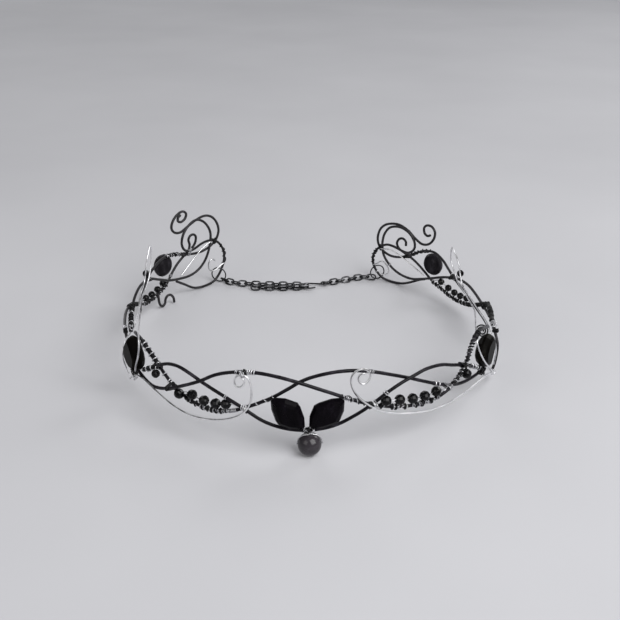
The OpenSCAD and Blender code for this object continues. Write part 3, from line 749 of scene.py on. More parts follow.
@dataclass(frozen=True)
class WireFinish:
    """Drawn wire: die lines along it, dull and bright stretches, small dents and rubs."""

    name: str
    dark: Colour
    light: Colour
    rubbed: Colour
    metallic: float
    rough_low: float
    rough_high: float
    level: float = 0.5
    lines_mm: float = 0.012
    # Share of painted shade laid on the wire's flanks.
    edge_shade: float = 0.0

    def material(self) -> bpy.types.Material:
        """Colour from slow noise with rubs on top, roughness and bump from lines and dents.

        Where the finish asks for it, the flanks grow dark: painted shade that stands for the dark
        edges of a round metal wire.

        Returns:
            The material.
        """
        shader = Shader(self.name)
        slow = shader.noise(shader.place(), 180.0, 4.0)
        rubs = shader.noise(shader.place((0.35, 2.6, 1.0), wire=True), 1.6, 5.0, 0.65)
        lines = shader.noise(shader.place((0.12, 9.0, 1.0), wire=True), 2.0, 2.0)
        dents = shader.noise(shader.place(), 900.0, 3.0)
        mixed = shader.sum(slow, rubs, 0.6)
        stops = ((0.62, self.dark), (0.86, self.light), (0.98, self.rubbed))
        # Painted shade: the flanks are pulled towards a dark grey, standing for the wire's dark
        # edges.
        if self.edge_shade:
            mixed = shader.sum(mixed, shader.flanks(SILVER_WIRE), self.edge_shade)
            stops = ((0.3, EDGE_SHADE_TONE), *stops)
        colour = shader.colours(mixed, stops)
        shader.set(shader.surface, Base_Color=colour, Metallic=self.metallic,
                   Roughness=shader.span(shader.sum(slow, lines, 0.5), self.rough_low,
                                         self.rough_high, 0.6, 0.95),
                   Specular_IOR_Level=self.level, IOR=1.5)
        shader.relief(shader.sum(lines, dents, 1.4), self.lines_mm, 0.6)
        return shader.material


@dataclass(frozen=True)
class StoneFinish:
    """Polished black stone or glass: faint clouds and bands, small polishing marks."""

    name: str
    deep: Colour
    cloud: Colour
    band: Colour
    rough_low: float
    rough_high: float
    level: float = 0.5
    grain: float = 260.0

    def material(self) -> bpy.types.Material:
        """Colour from clouds bent by noise, roughness from fine marks, a very shallow bump.

        Returns:
            The material.
        """
        shader = Shader(self.name)
        clouds = shader.noise(shader.place((1.0, 1.0, 0.5)), self.grain, 5.0, 0.6)
        marks = shader.noise(shader.place(), self.grain * 9, 4.0, 0.7)
        mixed = shader.sum(clouds, marks, 0.25)
        colour = shader.colours(mixed, ((0.42, self.deep), (0.68, self.cloud), (0.86, self.band)))
        shader.set(shader.surface, Base_Color=colour, IOR=1.54, Specular_IOR_Level=self.level,
                   Roughness=shader.span(marks, self.rough_low, self.rough_high))
        shader.relief(marks, 0.006, 0.35)
        return shader.material


@dataclass(frozen=True)
class ClothFinish:
    """Pale floor: an even matt surface with the slightest unevenness."""

    name: str = "pale_floor"

    def material(self) -> bpy.types.Material:
        """Two close tones by slow noise, and a fine shallow bump.

        Returns:
            The material.
        """
        shader = Shader(self.name)
        slow = shader.noise(shader.place(), 5.0, 3.0)
        fine = shader.noise(shader.place(), 900.0, 2.0)
        shader.set(shader.surface, Roughness=0.85, Base_Color=shader.colours(
            slow, ((0.3, (0.475, 0.475, 0.495)), (0.7, (0.515, 0.515, 0.535)))))
        shader.relief(fine, 0.05, 0.2)
        return shader.material


class Finish(Enum):
    """The finishes of the diadem, each with the name of the slot that it belongs to."""

    ENAMEL = ("black_wire", WireFinish("black_enamelled_wire", (0.0028, 0.0023, 0.0034),
              (0.0068, 0.0056, 0.0085), (0.03, 0.027, 0.035), 0.0, 0.24, 0.4, level=0.15))
    # A lighter copy of the same black enamel for the wires behind the front ones: painted sheen
    # that stands for their highlights.
    SHEEN_ENAMEL = ("black_wire", WireFinish("sheen_painted_black_enamelled_wire", (0.014, 0.0132, 0.0145),
                    (0.02, 0.019, 0.021), (0.045, 0.042, 0.047), 0.0, 0.3, 0.46, level=0.2))
    # The three silver finishes are one silver wire in lit and shaded copies: they differ mainly in
    # painted edge shade, a little in tone.
    SILVER = ("silver_wire", WireFinish("lit_silver_wire", (0.76, 0.76, 0.78),
              (0.90, 0.90, 0.92), (0.97, 0.97, 0.98), 1.0, 0.34, 0.46, lines_mm=0.006,
              edge_shade=0.1))
    EDGE_SHADED_SILVER = ("silver_wire", WireFinish("edge_shaded_silver_wire", (0.72, 0.72, 0.74),
                   (0.88, 0.88, 0.90), (0.96, 0.96, 0.97), 1.0, 0.32, 0.45, lines_mm=0.006,
                   edge_shade=0.3))
    DEEP_EDGE_SHADED_SILVER = ("silver_wire", WireFinish("deep_edge_shaded_silver_wire", (0.72, 0.72, 0.73),
                  (0.88, 0.88, 0.89), (0.95, 0.95, 0.95), 1.0, 0.3, 0.43, lines_mm=0.006,
                  edge_shade=0.38))
    STONE = ("cut_stone", StoneFinish("black_cut_stone", (0.001, 0.0008, 0.0012),
             (0.003, 0.0022, 0.0035), (0.010, 0.008, 0.012), 0.22, 0.34, level=0.04))
    # The side stones are the same black stone with its reflection turned down and roughened, so
    # they show darker: painted shade.
    DIMMED_STONE = ("cut_stone", StoneFinish("dimmed_reflection_cut_stone", (0.001, 0.0008, 0.0008),
                  (0.0035, 0.003, 0.0025), (0.012, 0.011, 0.008), 0.3, 0.42, level=0.018))
    ROUND_STONE = ("cut_stone", StoneFinish("streaked_cut_stone", (0.005, 0.0045, 0.0055),
                   (0.014, 0.0125, 0.015), (0.04, 0.038, 0.045), 0.26, 0.38, level=0.05,
                   grain=420.0))
    DROP = ("pendant_stone", StoneFinish("smoky_drop_stone", (0.016, 0.0135, 0.016),
            (0.033, 0.029, 0.034), (0.06, 0.054, 0.062), 0.14, 0.24, level=0.28, grain=150.0))
    BEAD = ("small_beads", StoneFinish("black_bead_glass", (0.001, 0.001, 0.001),
            (0.003, 0.003, 0.0035), (0.01, 0.01, 0.011), 0.05, 0.12, level=0.15, grain=420.0))
    THREAD = ("fine_wire", WireFinish("fine_silver_thread", (0.36, 0.36, 0.38),
              (0.66, 0.66, 0.68), (0.88, 0.88, 0.89), 1.0, 0.22, 0.42, lines_mm=0.006))
    FINE_BLACK = ("black_wire", WireFinish("fine_black_binding_wire", (0.003, 0.003, 0.0035),
                  (0.007, 0.007, 0.008), (0.03, 0.03, 0.03), 0.0, 0.24, 0.42, level=0.2,
                  lines_mm=0.006))
    CHAIN = ("chain_metal", WireFinish("gunmetal_chain", (0.018, 0.018, 0.02),
             (0.04, 0.04, 0.043), (0.22, 0.22, 0.23), 1.0, 0.3, 0.48))


class Workshop:
    """Puts finished surfaces into the scene as pieces that ride on the diadem."""

    def __init__(self) -> None:
        """Starts without a material."""
        self.materials: dict[Finish, bpy.types.Material] = {}

    def finish(self, finish: Finish) -> bpy.types.Material:
        """Material of a finish, made the first time that it is asked for.

        Args:
            finish: The finish.

        Returns:
            Its material.
        """
        if finish not in self.materials:
            self.materials[finish] = finish.value[1].material()
        return self.materials[finish]

    def piece(self, name: str, surface: Surface, finish: Finish, nodes: tuple[str, ...] = (),
              smooth: bool = True) -> bpy.types.Object:
        """Makes a piece of a surface.

        Args:
            name: The piece's name.
            surface: Its surface in millimetres.
            finish: Its finish.
            nodes: CAD nodes that it stands for.
            smooth: Whether its faces are shaded as one smooth surface.

        Returns:
            The piece, with its place in its mesh.
        """
        mesh = bpy.data.meshes.new(name)
        faces = surface.fours.tolist() + surface.threes.tolist()
        mesh.from_pydata((surface.points * METRES).tolist(), [], faces)
        layer = mesh.uv_layers.new(name="wire")
        corners = np.concatenate([surface.fours_uv.reshape(-1, 2),
                                  surface.threes_uv.reshape(-1, 2)])
        layer.data.foreach_set("uv", corners.astype(np.float32).ravel())
        mesh.polygons.foreach_set("use_smooth", np.full(len(faces), smooth))
        mesh.materials.append(self.finish(finish))
        mesh.update()
        made = bpy.data.objects.new(name, mesh)
        bpy.context.scene.collection.objects.link(made)
        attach(made, "root")
        if nodes:
            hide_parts(*nodes)
        log.info("%s: %d faces", name, len(faces))
        return made

    def soften(self, made: bpy.types.Object, name: str, width: float, rows: int,
               degrees: float) -> None:
        """Bevels a piece's edges where its faces meet at more than an angle.

        Args:
            made: The piece.
            name: The bevel's name.
            width: Its width in millimetres.
            rows: Rows of faces across it.
            degrees: Least angle of an edge that is bevelled.
        """
        bevel = made.modifiers.new(name, "BEVEL")
        bevel.width, bevel.segments, bevel.limit_method = width * METRES, rows, "ANGLE"
        bevel.angle_limit, bevel.harden_normals = math.radians(degrees), True

    def refinish(self, made: bpy.types.Object, finish: Finish, faces: Array) -> None:
        """Gives the marked faces of a piece another finish of the same slot."""
        made.data.materials.append(self.finish(finish))
        made.data.polygons.foreach_set("material_index", faces.astype(np.int32))


# ---------------------------------------------------------------- sub-assemblies


@dataclass
class WireWork:
    """The bent wires: each one a smooth round tube along its own table."""

    routes: dict[str, Route]
    size: float
    finish: Finish
    step: float = 0.45
    sides: int = 14
    uneven: float = 0.012
    shaded_to: float = 0.0

    def build(self, shop: Workshop) -> None:
        """Makes every wire and lets it stand for the CAD node of its name.

        Up to the place in its last field, the wire is painted darker: the silver with most painted
        edge shade.

        Args:
            shop: Where the pieces are made.
        """
        for node, route in self.routes.items():
            places = route.even(0.0, len(route.rows) - 1.0, self.step)
            line = route.points(places)
            surface = tube(line, route.away(places), self.size, self.sides, uneven=self.uneven)
            made = shop.piece(node + "_drawn", surface, self.finish, (node,))
            if self.shaded_to:
                length = np.interp(self.shaded_to, places, run_of(line))
                starts = [surface.fours_uv[:, 0, 0], surface.threes_uv[:, 0, 0]]
                shop.refinish(made, Finish.DEEP_EDGE_SHADED_SILVER, np.concatenate(starts) < length)


def wire_groups() -> tuple[WireWork, ...]:
    """The wires by thickness and finish: black in front and behind, then the silver ones."""
    return (
        WireWork({"front_lower_wire": FRONT_LOWER, "left_rail_wire": LEFT_RAIL,
                  "right_rail_wire": RIGHT_RAIL}, FRONT_WIRE, Finish.ENAMEL),
        # The black wires behind the front ones take the lighter enamel copy: painted sheen.
        WireWork({"left_top_wire": LEFT_TOP, "left_diagonal_wire": LEFT_DIAGONAL,
                  "left_end_loop_wire": LEFT_END_LOOP, "right_top_wire": RIGHT_TOP,
                  "right_diagonal_wire": RIGHT_DIAGONAL, "right_end_loop_wire": RIGHT_END_LOOP,
                  "left_hanging_scroll": HANGING_SCROLL}, BLACK_WIRE, Finish.SHEEN_ENAMEL),
        # Painted shade: frames, left swag, braces, curls and the right swag up to place 14.3 take
        # silver copies with more painted edge shade.
        WireWork({"left_silver_frame": LEFT_FRAME, "right_silver_frame": RIGHT_FRAME},
                 DULL_WIRE, Finish.EDGE_SHADED_SILVER, sides=SILVER_SIDES),
        WireWork({"right_silver_swag": RIGHT_SWAG}, BRIGHT_WIRE, Finish.SILVER,
                 sides=SILVER_SIDES, shaded_to=14.3),
        WireWork({"left_silver_swag": LEFT_SWAG}, DULL_WIRE, Finish.DEEP_EDGE_SHADED_SILVER,
                 sides=SILVER_SIDES),
        WireWork({"left_silver_brace": LEFT_BRACE, "right_silver_brace": RIGHT_BRACE,
                  "left_silver_curl": LEFT_CURL, "right_silver_curl": RIGHT_CURL},
                 SILVER_WIRE, Finish.DEEP_EDGE_SHADED_SILVER, sides=SILVER_SIDES))


@dataclass
class Stones:
    """The cut stones: a flat table, rows of facets round it, a thin girdle and a flat back."""

    centre: tuple[float, float, float] = (11.0, 15.5, 4.4)
    side: tuple[float, float, float] = (14.0, 14.5, 5.4)
    back: tuple[float, float, float] = (10.8, 10.8, 5.4)
    edge: float = 0.14
    disc_sides: int = 20
    centre_outline: tuple[tuple[float, float], ...] = (
        (-0.12, 1), (-0.54, 0.66), (-0.92, 0.14), (-1, -0.1), (-0.66, -0.62), (-0.16, -1),
        (0.12, -1), (0.54, -0.66), (0.92, -0.14), (1, 0.1), (0.66, 0.62), (0.16, 1))
    drop_outline: tuple[tuple[float, float], ...] = (
        (-0.1, 1), (-0.5, 0.68), (-0.86, 0.28), (-1, -0.12), (-0.88, -0.56), (-0.5, -0.88),
        (0, -1), (0.5, -0.88), (0.88, -0.56), (1, -0.12), (0.86, 0.28), (0.5, 0.68), (0.1, 1))
    # Cut from the back to the table. Columns: inset from the outline in mm, share of the thickness.
    cut: tuple[tuple[float, float], ...] = (
        (2.2, -0.5), (1.0, -0.36), (0.0, -0.1), (0.0, 0.06), (0.75, 0.33), (1.9, 0.5))

    @staticmethod
    def inset(outline: Array, depth: float) -> Array:
        """Outline with each side moved inwards: new corners are where moved neighbours meet.

        Args:
            outline: Corners, counterclockwise.
            depth: How far inwards.

        Returns:
            The new corners.
        """
        ahead = np.roll(outline, -1, 0) - outline
        inwards = unit(np.stack([-ahead[:, 1], ahead[:, 0]], axis=1))
        reach = (inwards * (outline + depth * inwards)).sum(1)
        before, before_reach = np.roll(inwards, 1, 0), np.roll(reach, 1)
        det = before[:, 0] * inwards[:, 1] - before[:, 1] * inwards[:, 0]
        x = (before_reach * inwards[:, 1] - reach * before[:, 1]) / det
        y = (before[:, 0] * reach - inwards[:, 0] * before_reach) / det
        return np.stack([x, y], axis=1)

    def gem(self, outline: Array, thick: float) -> Surface:
        """Stone on its own z axis: the outline inset at each row of the cut.

        Args:
            outline: Corners of its outline in millimetres.
            thick: Its thickness.

        Returns:
            The stone.
        """
        rings = [np.column_stack([self.inset(outline, d), np.full(len(outline), h * thick)])
                 for d, h in self.cut]
        grid = np.stack(rings)
        around = np.arange(len(outline) + 1, dtype=float)
        return grid_surface(grid, around, np.arange(len(rings), dtype=float), False, True)

    def build(self, shop: Workshop) -> None:
        """Makes the six stones, each at its place on the ring.

        Args:
            shop: Where the pieces are made.
        """
        angles = np.radians(np.arange(self.disc_sides) * (360 / self.disc_sides))
        disc = np.stack([np.cos(angles), np.sin(angles)], axis=1)
        kite, drop = np.array(self.centre_outline), np.array(self.drop_outline)
        # deep is the side stones' copy with dimmed reflection, which shows them darker: painted
        # shade.
        clear, deep, streaked = Finish.STONE, Finish.DIMMED_STONE, Finish.ROUND_STONE
        upright = np.array([0.0, 0.0, 1.0])
        # Columns: node, outline, size, bearing, height, distance out, turn in degrees, finish.
        for node, outline, size, bearing, height, out, spin, finish in (
                ("left_centre_stone", kite, self.centre, -5.5, 17, 0.8, 45, clear),
                ("right_centre_stone", kite, self.centre, 4.4, 17, 0.7, -45, clear),
                ("left_side_stone", drop, self.side, -61.3, 18.3, 0.2, 0, deep),
                ("right_side_stone", drop, self.side, 61.3, 18, 0.3, 192, deep),
                ("left_round_stone", disc, self.back, -123.2, 19.1, 2.5, 0, streaked),
                ("right_round_stone", disc, self.back, 129, 16.4, 2.5, 0, streaked)):
            width, length, thick = size
            body = self.gem(outline * np.array([width, length]) / 2, thick)
            facing_way, turn = math.radians(bearing), math.radians(spin)
            level = np.array([math.cos(facing_way), math.sin(facing_way), 0])
            x = math.cos(turn) * level + math.sin(turn) * upright
            matrix = facing(RING.away(bearing), x, RING.points(np.array([bearing, height, out])))
            made = shop.piece(node + "_cut", placed(body, matrix), finish, (node,), smooth=False)
            shop.soften(made, "polished_edges", self.edge, 2, 8)


@dataclass
class BeadStrings:
    """Small faceted beads that stand against the wires, and the threads through them."""

    size: float = 4.0
    back_size: float = 3.4
    bore: float = 0.9
    sides: int = 10
    edge: float = 0.12
    # Half a bead's length along its thread, as a share of its size, and the thread past it.
    half_length: float = 0.41
    past: float = 0.1
    # Where the thread leaves the wire and turns up to its first and last bead, in places.
    leave: float = 0.9
    rise: float = 0.7
    # Beads beside a string's thread, by string: places, size, side, distance out.
    loose: ClassVar[dict[str, tuple[tuple[float, ...], float, float, float]]] = {
        "left_front": ((20.35,), 4.0, 0.6, 2.3), "right_front": ((15.3,), 4.0, 1.0, 1.5)}

    def middle(self, route: Route, places: Array, size: float, side: float, out: float) -> Array:
        """Middles of beads that lie against a wire on one side of it."""
        reach = (BLACK_WIRE + size) / 2 + 2 * WIRE_GAP
        return route.points(places, out) + side * reach * route.across(places)

    def bead(self, size: float) -> Surface:
        """One drilled bead, its rings a share of its radius wide and high.

        Args:
            size: Its size.

        Returns:
            The bead on its own z axis.
        """
        half = size / 2
        shares = ((self.bore / 2 / half, -0.84), (0.52, -0.84), (0.83, -0.52), (1.0, 0.0),
                  (0.83, 0.52), (0.52, 0.84), (self.bore / 2 / half, 0.84))
        return turned(np.array(shares) * half, self.sides)

    def on(self, route: Route, places: tuple[float, ...], size: float, side: float = 1.0,
           out: float = 0.0) -> list[Surface]:
        """Beads at places on a wire, each turned a little about its own hole.

        Args:
            route: The wire.
            places: Places on it.
            size: The beads' size.
            side: How far to one side of it, as a share of touching.
            out: Distance out of the ring.

        Returns:
            The beads.
        """
        spots = np.array(places)
        middles, ways = self.middle(route, spots, size, side, out), route.along(spots)
        near = unit(np.cross(ways, route.away(spots)))
        turns = np.cos(np.arange(len(spots)) * 1.7)[:, None]
        near = unit(near + 0.6 * turns * np.cross(ways, near))
        return [placed(self.bead(size), facing(w, n, m)) for m, w, n in zip(middles, ways, near)]

    def thread(self, route: Route, places: tuple[float, ...], size: float,
               out: float = 0.0) -> Surface:
        """Thread through the beads of one string, its ends brought down beside the wire.

        Args:
            route: The wire.
            places: Places of the beads.
            size: The beads' size.
            out: Their distance out of the ring.

        Returns:
            The thread.
        """
        reach = size * self.half_length + self.past
        drop = (BLACK_WIRE + THREAD_WIRE) / 2 + 2 * WIRE_GAP
        spots = np.array(places)
        middles, ways = self.middle(route, spots, size, 1.0, out), route.along(spots)
        through = np.stack([middles - reach * ways, middles + reach * ways], 1).reshape(-1, 3)
        ends = np.array([spots[0] - self.leave, spots[0] - self.rise,
                         spots[-1] + self.rise, spots[-1] + self.leave])
        low = route.points(ends) + drop * route.across(ends)
        knots = np.concatenate([low[:2], through, low[2:]])
        places_of = np.concatenate([ends[:2], np.repeat(spots, 2), ends[2:]])
        steps = 6
        line = spline(knots, steps)
        rows = np.interp(np.arange(len(line)) / steps, np.arange(len(knots)), places_of)
        away = route.away(rows)
        return tube(line, away, THREAD_WIRE, 8)

    def strings(self) -> tuple[tuple, ...]:
        """Strings: name, wire, places, size, distance out, and the single bead beside them.

        Returns:
            A row for each string. The single bead's columns are its wire, place, side and
            distance out.
        """
        return (
            ("left_front", LEFT_RAIL, (17.5, 18.2, 18.95, 19.75), self.size, 0.0,
             (FRONT_LOWER, (3.8,), -1.0, 1.8)),
            ("right_front", RIGHT_RAIL, (16.2, 17, 17.8, 18.7), self.size, 0.0,
             (FRONT_LOWER, (22.85,), -1.0, 2.2)),
            ("left_back", LEFT_DIAGONAL, (10.1, 10.95, 11.8, 12.7), self.back_size, 0.0,
             (LEFT_TOP, (5.9,), 1.0, 0.0)),
            ("right_back", RIGHT_DIAGONAL, (11.05, 11.75, 12.5, 13.35, 14.25), self.back_size, 0.8,
             (RIGHT_END_LOOP, (7.2,), 1.0, 1.3)))

    def build(self, shop: Workshop) -> None:
        """Makes the four groups of beads and the four threads.

        Args:
            shop: Where the pieces are made.
        """
        for name, route, places, size, out, (other, single, side, single_out) in self.strings():
            beads = self.on(route, places, size, out=out)
            small = self.back_size if name == "left_front" else size
            beads += self.on(other, single, small, side, single_out)
            if name in self.loose:
                beads += self.on(route, *self.loose[name])
            made = shop.piece(name + "_beads_faceted", Surface.joined(beads), Finish.BEAD,
                              (name + "_beads",), smooth=False)
            shop.soften(made, "fire_polished_edges", self.edge, 1, 12)
            shop.piece(name + "_thread_drawn", self.thread(route, places, size, out),
                       Finish.THREAD, (name + "_thread",))


@dataclass
class Pendant:
    """The drop bead and the wire that hangs it from the lower front wire."""

    size: float = 8.5
    bore: float = 1.0
    aside: float = 0.3
    clear: float = 0.03

    @property
    def middle(self) -> Array:
        """Middle of the drop bead."""
        return np.array(RING.middle) + np.array([self.aside, -RING.half_depth, self.size / 2])

    def build(self, shop: Workshop) -> None:
        """Makes the round bead, drilled from side to side, and the bail over its shoulders.

        The bead's profile is half the size times the sine and the cosine of one angle.

        Args:
            shop: Where the pieces are made.
        """
        half, hole = self.size / 2, self.bore / 2
        start = math.asin(hole / half)
        bend = np.linspace(start, math.pi - start, 40)
        outside = np.stack([half * np.sin(bend), -half * np.cos(bend)], axis=1)
        inside = np.array([[hole, 0.6 * half], [hole, 0.0], [hole, -0.6 * half]])
        bead = turned(np.concatenate([outside, inside]), 64)
        matrix = facing(np.array([1.0, 0, 0]), np.array([0, 0, 1.0]), self.middle)
        shop.piece("pendant_bead_polished", placed(bead, matrix), Finish.DROP, ("pendant_bead",))
        reach = half + THREAD_WIRE / 2 + self.clear
        # The bail from the wire above to the hole. Columns: sideways, back, up from the middle.
        bends = np.array([
            [1.4, -1.1, 6.3], [0.5, -1.1, 5.2], [-0.4, -0.8, 4.45], [-2.2, -0.4, 3.85],
            [-3.7, 0.1, 2.55], [-reach + 0.05, 0.05, 0.95], [-reach, 0, 0.2],
            [-reach + 0.8, 0, 0]])
        strands = [spline(bends * np.array([side, 1, 1]) + [0, lift, lift], 8) + self.middle
                   for side, lift in ((1.0, 0.0), (-1.0, 0.15))]
        shop.piece("pendant_wire_drawn", Surface.joined([
            tube(line, np.tile([0.0, -1.0, 0.3], (len(line), 1)), THREAD_WIRE, 10)
            for line in strands]), Finish.THREAD, ("pendant_wire",))


Way = tuple[tuple[float, float], ...]


@dataclass
class BackChain:
    """The chain at the back in two runs, its jump rings and the clasp hook."""

    length: float = 5.4
    width: float = 3.6
    wire: float = 0.8
    height: float = 1.5
    jump_size: float = 7.8
    slack: float = 0.4
    roll: float = 45.0
    jump_wire: float = 0.6
    jump_cut: float = 1.2
    jump_cut_at: float = 60.0
    # Ways of the two runs and of the free tail over the floor, from the ring's middle.
    left_way: Way = (
        (-38, 68.9), (-35.4, 66.7), (-32.3, 65.3), (-29, 64.4), (-21, 63.4), (-12, 62.8),
        (2.4, 62.33))
    right_way: Way = (
        (36, 71.8), (32.6, 72.2), (29.3, 71.5), (26.2, 70), (23, 68.8), (12.5, 64.55))
    tail_way: Way = ((1.5, 59.95), (-4, 59.3), (-12, 59), (-26, 59.8))
    left_links: int = 13
    right_links: int = 8
    tail_links: int = 8
    hook_bend: tuple[float, float] = (4.15, 61.3)
    hook_eye: tuple[float, float] = (11.85, 64.3)
    hook_lean: float = 21.0
    bend_radius: float = 3.0
    eye_radius: float = 1.6
    hook_start: float = 2.0

    def link(self) -> Surface:
        """One oval link on its own x axis: two half circles joined by straight sides.

        Returns:
            The link.
        """
        r = (self.width - self.wire) / 2
        half = self.length / 2 - self.wire / 2 - r
        turn = np.radians(np.linspace(-90, 90, 10))
        bow = np.stack([half + r * np.cos(turn), r * np.sin(turn), np.zeros_like(turn)], axis=1)
        line = np.concatenate([bow, bow * np.array([-1.0, -1.0, 1.0])])
        return tube(line, np.tile([0.0, 0.0, 1.0], (len(line), 1)), self.wire, 8, closed=True)

    def run(self, way: Way, count: int, roll: float) -> list[Surface]:
        """Links at equal steps along a way, each rolled the other way from the one before.

        Args:
            way: Points over the floor.
            count: Number of links.
            roll: The first link's roll in degrees.

        Returns:
            The links.
        """
        path = np.array(way, float)
        length = run_of(path)
        pitch = self.length - 2 * self.wire - self.slack

        def at(run: Array) -> Array:
            """Points at lengths along the way, carried straight on past its end."""
            beyond = np.maximum(run - length[-1], 0)[:, None] * unit(path[-1] - path[-2])
            return np.stack([np.interp(run, length, path[:, k]) for k in range(2)], 1) + beyond

        k = np.arange(count)
        spots = at(k * pitch)
        ways = unit(at((k + 0.5) * pitch) - at(np.maximum(k - 0.5, 0) * pitch))
        base = np.array(RING.middle) + np.array([0, 0, self.height])
        links = []
        for i, (spot, heading) in enumerate(zip(spots, ways)):
            x = np.array([heading[0], heading[1], 0.0])
            y = np.array([-heading[1], heading[0], 0.0])
            tip = math.radians(roll if i % 2 == 0 else -roll)
            side = math.cos(tip) * y + math.sin(tip) * np.array([0, 0, 1.0])
            matrix = np.column_stack([x, side, np.cross(x, side),
                                      base + np.array([spot[0], spot[1], 0])])
            links.append(placed(self.link(), matrix))
        return links

    def ring(self, route: Route, place: float, turn: float) -> Surface:
        """Jump ring round a wire, its two cut ends nearly touching at the top.

        Args:
            route: The wire.
            place: Place on it.
            turn: Turn about the upright in degrees.

        Returns:
            The ring.
        """
        cut = self.jump_cut
        angle = np.radians(np.linspace(cut, 360 - cut, 73) + self.jump_cut_at)
        r = (self.jump_size - self.jump_wire) / 2
        way = math.radians(turn)
        x, z = np.array([math.cos(way), math.sin(way), 0.0]), np.array([0.0, 0.0, 1.0])
        line = r * (np.outer(np.cos(angle), x) + np.outer(np.sin(angle), z))
        middle = route.points(np.array([place]))[0]
        return tube(line + middle, np.tile(np.cross(x, z), (len(line), 1)), self.jump_wire, 12)

    def hook(self) -> Surface:
        """The hook: an open bend, a shank and a closed eye, as one bent wire.

        Returns:
            The hook.
        """
        lean, bend_r, eye_r = self.hook_lean, self.bend_radius, self.eye_radius
        bend, eye = np.array(self.hook_bend), np.array(self.hook_eye)

        def arc(middle: Array, radius: float, angles: Array) -> Array:
            """Points on a circle at angles in degrees."""
            turn = np.radians(angles)
            return middle + radius * np.stack([np.cos(turn), np.sin(turn)], axis=1)

        heading = np.radians(lean)
        shank = np.array([[math.cos(heading), math.sin(heading)]])
        start = arc(bend, bend_r, np.array([lean - 90])) + self.hook_start * shank
        flat = np.concatenate([start, arc(bend, bend_r, np.arange(lean + 270, lean + 89, -30)),
                               arc(eye, eye_r, np.arange(lean + 195, lean + 526, 30))])
        line = spline(flat, 5)
        line = np.column_stack([line, np.full(len(line), self.height)])
        line[:, :2] += np.array(RING.middle)[:2]
        return tube(line, np.tile([0.0, 0.0, 1.0], (len(line), 1)), self.wire, 12)

    def build(self, shop: Workshop) -> None:
        """Makes both runs of chain, the rings and the hook.

        Args:
            shop: Where the pieces are made.
        """
        left = (self.run(self.left_way, self.left_links, -self.roll)
                + self.run(self.tail_way, self.tail_links, self.roll))
        right = self.run(self.right_way, self.right_links, -self.roll)
        # The jump rings' last columns: place on the wire, turn about the upright in degrees.
        for node, surface in (
                ("left_chain", Surface.joined(left)),
                ("right_chain", Surface.joined(right)),
                ("left_jump_ring", self.ring(LEFT_END_LOOP, 34.15, -15)),
                ("right_jump_ring", self.ring(RIGHT_END_LOOP, 35.07, 15)),
                ("clasp_hook", self.hook())):
            shop.piece(node + "_drawn", surface, Finish.CHAIN, (node,))


# How far a fine wire bites into the wire that it goes round, and its number of sides.
BITE = 0.02
FINE_SIDES = 6


def round_about(heading: Array, away: Array, turn: Array) -> Array:
    """Directions square to a heading: cosine of the turn times one plus its sine times the other.

    Args:
        heading: Heading of the wire, for all the turns or for each.
        away: Direction out of the ring, for all the turns or for each.
        turn: Angles in radians, the first of them out of the ring.

    Returns:
        A direction for each angle.
    """
    second = unit(np.cross(heading, away))
    first = np.cross(second, heading)
    return np.cos(turn)[:, None] * first + np.sin(turn)[:, None] * second


@dataclass(frozen=True)
class Wrap:
    """Spaced turns of fine wire along a stretch of one wire, drawn by an unsteady hand."""

    route: Route
    start: float
    end: float
    pitch: float
    size: float
    finish: Finish
    phase: float = 0.0
    steps: ClassVar[int] = 12

    def surface(self) -> Surface:
        """Helix on the wire: its middle line plus the two radii times cosine and sine of the turn.

        The turn grows with the length along the wire over the pitch, hurries and lingers by two
        slow sines, and the reach off the wire swells a little where it lingers.

        Returns:
            The wrap.
        """
        fine = self.route.even(self.start, self.end, 0.1)
        length = run_of(self.route.points(fine))
        count = max(8, int(length[-1] / self.pitch * self.steps) + 1)
        run = np.linspace(0, length[-1], count)
        places = np.interp(run, length, fine)
        stray = np.sin(run * 0.83 + self.phase) + 0.7 * np.sin(run * 1.9 + 2 * self.phase)
        turn = self.phase + 2 * math.pi * run / self.pitch + 0.9 * stray
        radial = round_about(self.route.along(places), self.route.away(places), turn)
        reach = ((BLACK_WIRE + self.size) / 2 - BITE) * (1.03 + 0.04 * stray)
        line = self.route.points(places) + reach[:, None] * radial
        return tube(line, radial, self.size, FINE_SIDES)


@dataclass(frozen=True)
class Lashing:
    """Tight turns of fine wire round one wire or round several that meet."""

    strands: tuple[tuple[Route, float], ...]
    span: float
    turns: float
    size: float
    finish: Finish
    tilt: float = 0.0
    over: float = BLACK_WIRE
    steps: ClassVar[int] = 22

    def surface(self) -> Surface:
        """Turns round the hull of the wires: the outermost wire's middle in each direction.

        The middles are mixed by weights that grow steeply with how far each lies out in the
        direction of the turn, and the direction times the radius is added.

        Returns:
            The lashing.
        """
        route, place = self.strands[0]
        heading = route.along(np.array([place]))[0]
        for other, at in self.strands[1:]:
            way = other.along(np.array([at]))[0]
            heading = heading + (way if way @ heading >= 0 else -way) * 0.6
        heading = unit(heading)
        count = int(self.turns * self.steps) + 1
        turn = np.linspace(0, 2 * math.pi * self.turns, count) + place
        radial = round_about(heading, route.away(np.array([place]))[0], turn)
        offsets = np.linspace(-self.span / 2, self.span / 2, count)
        offsets = offsets + self.tilt * np.cos(turn) + 0.1 * np.sin(turn * 0.37)
        middles = np.stack([r.beside(p, offsets, heading) for r, p in self.strands])
        height = (middles * radial).sum(-1)
        weight = np.exp((height - height.max(0)) / 0.12)
        weight = weight / weight.sum(0)
        line = (weight[..., None] * middles).sum(0)
        reach = ((self.over + self.size) / 2 - BITE) * (1.04 + 0.1 * np.sin(turn * 0.31))
        return tube(line + reach[:, None] * radial, radial, self.size, FINE_SIDES)


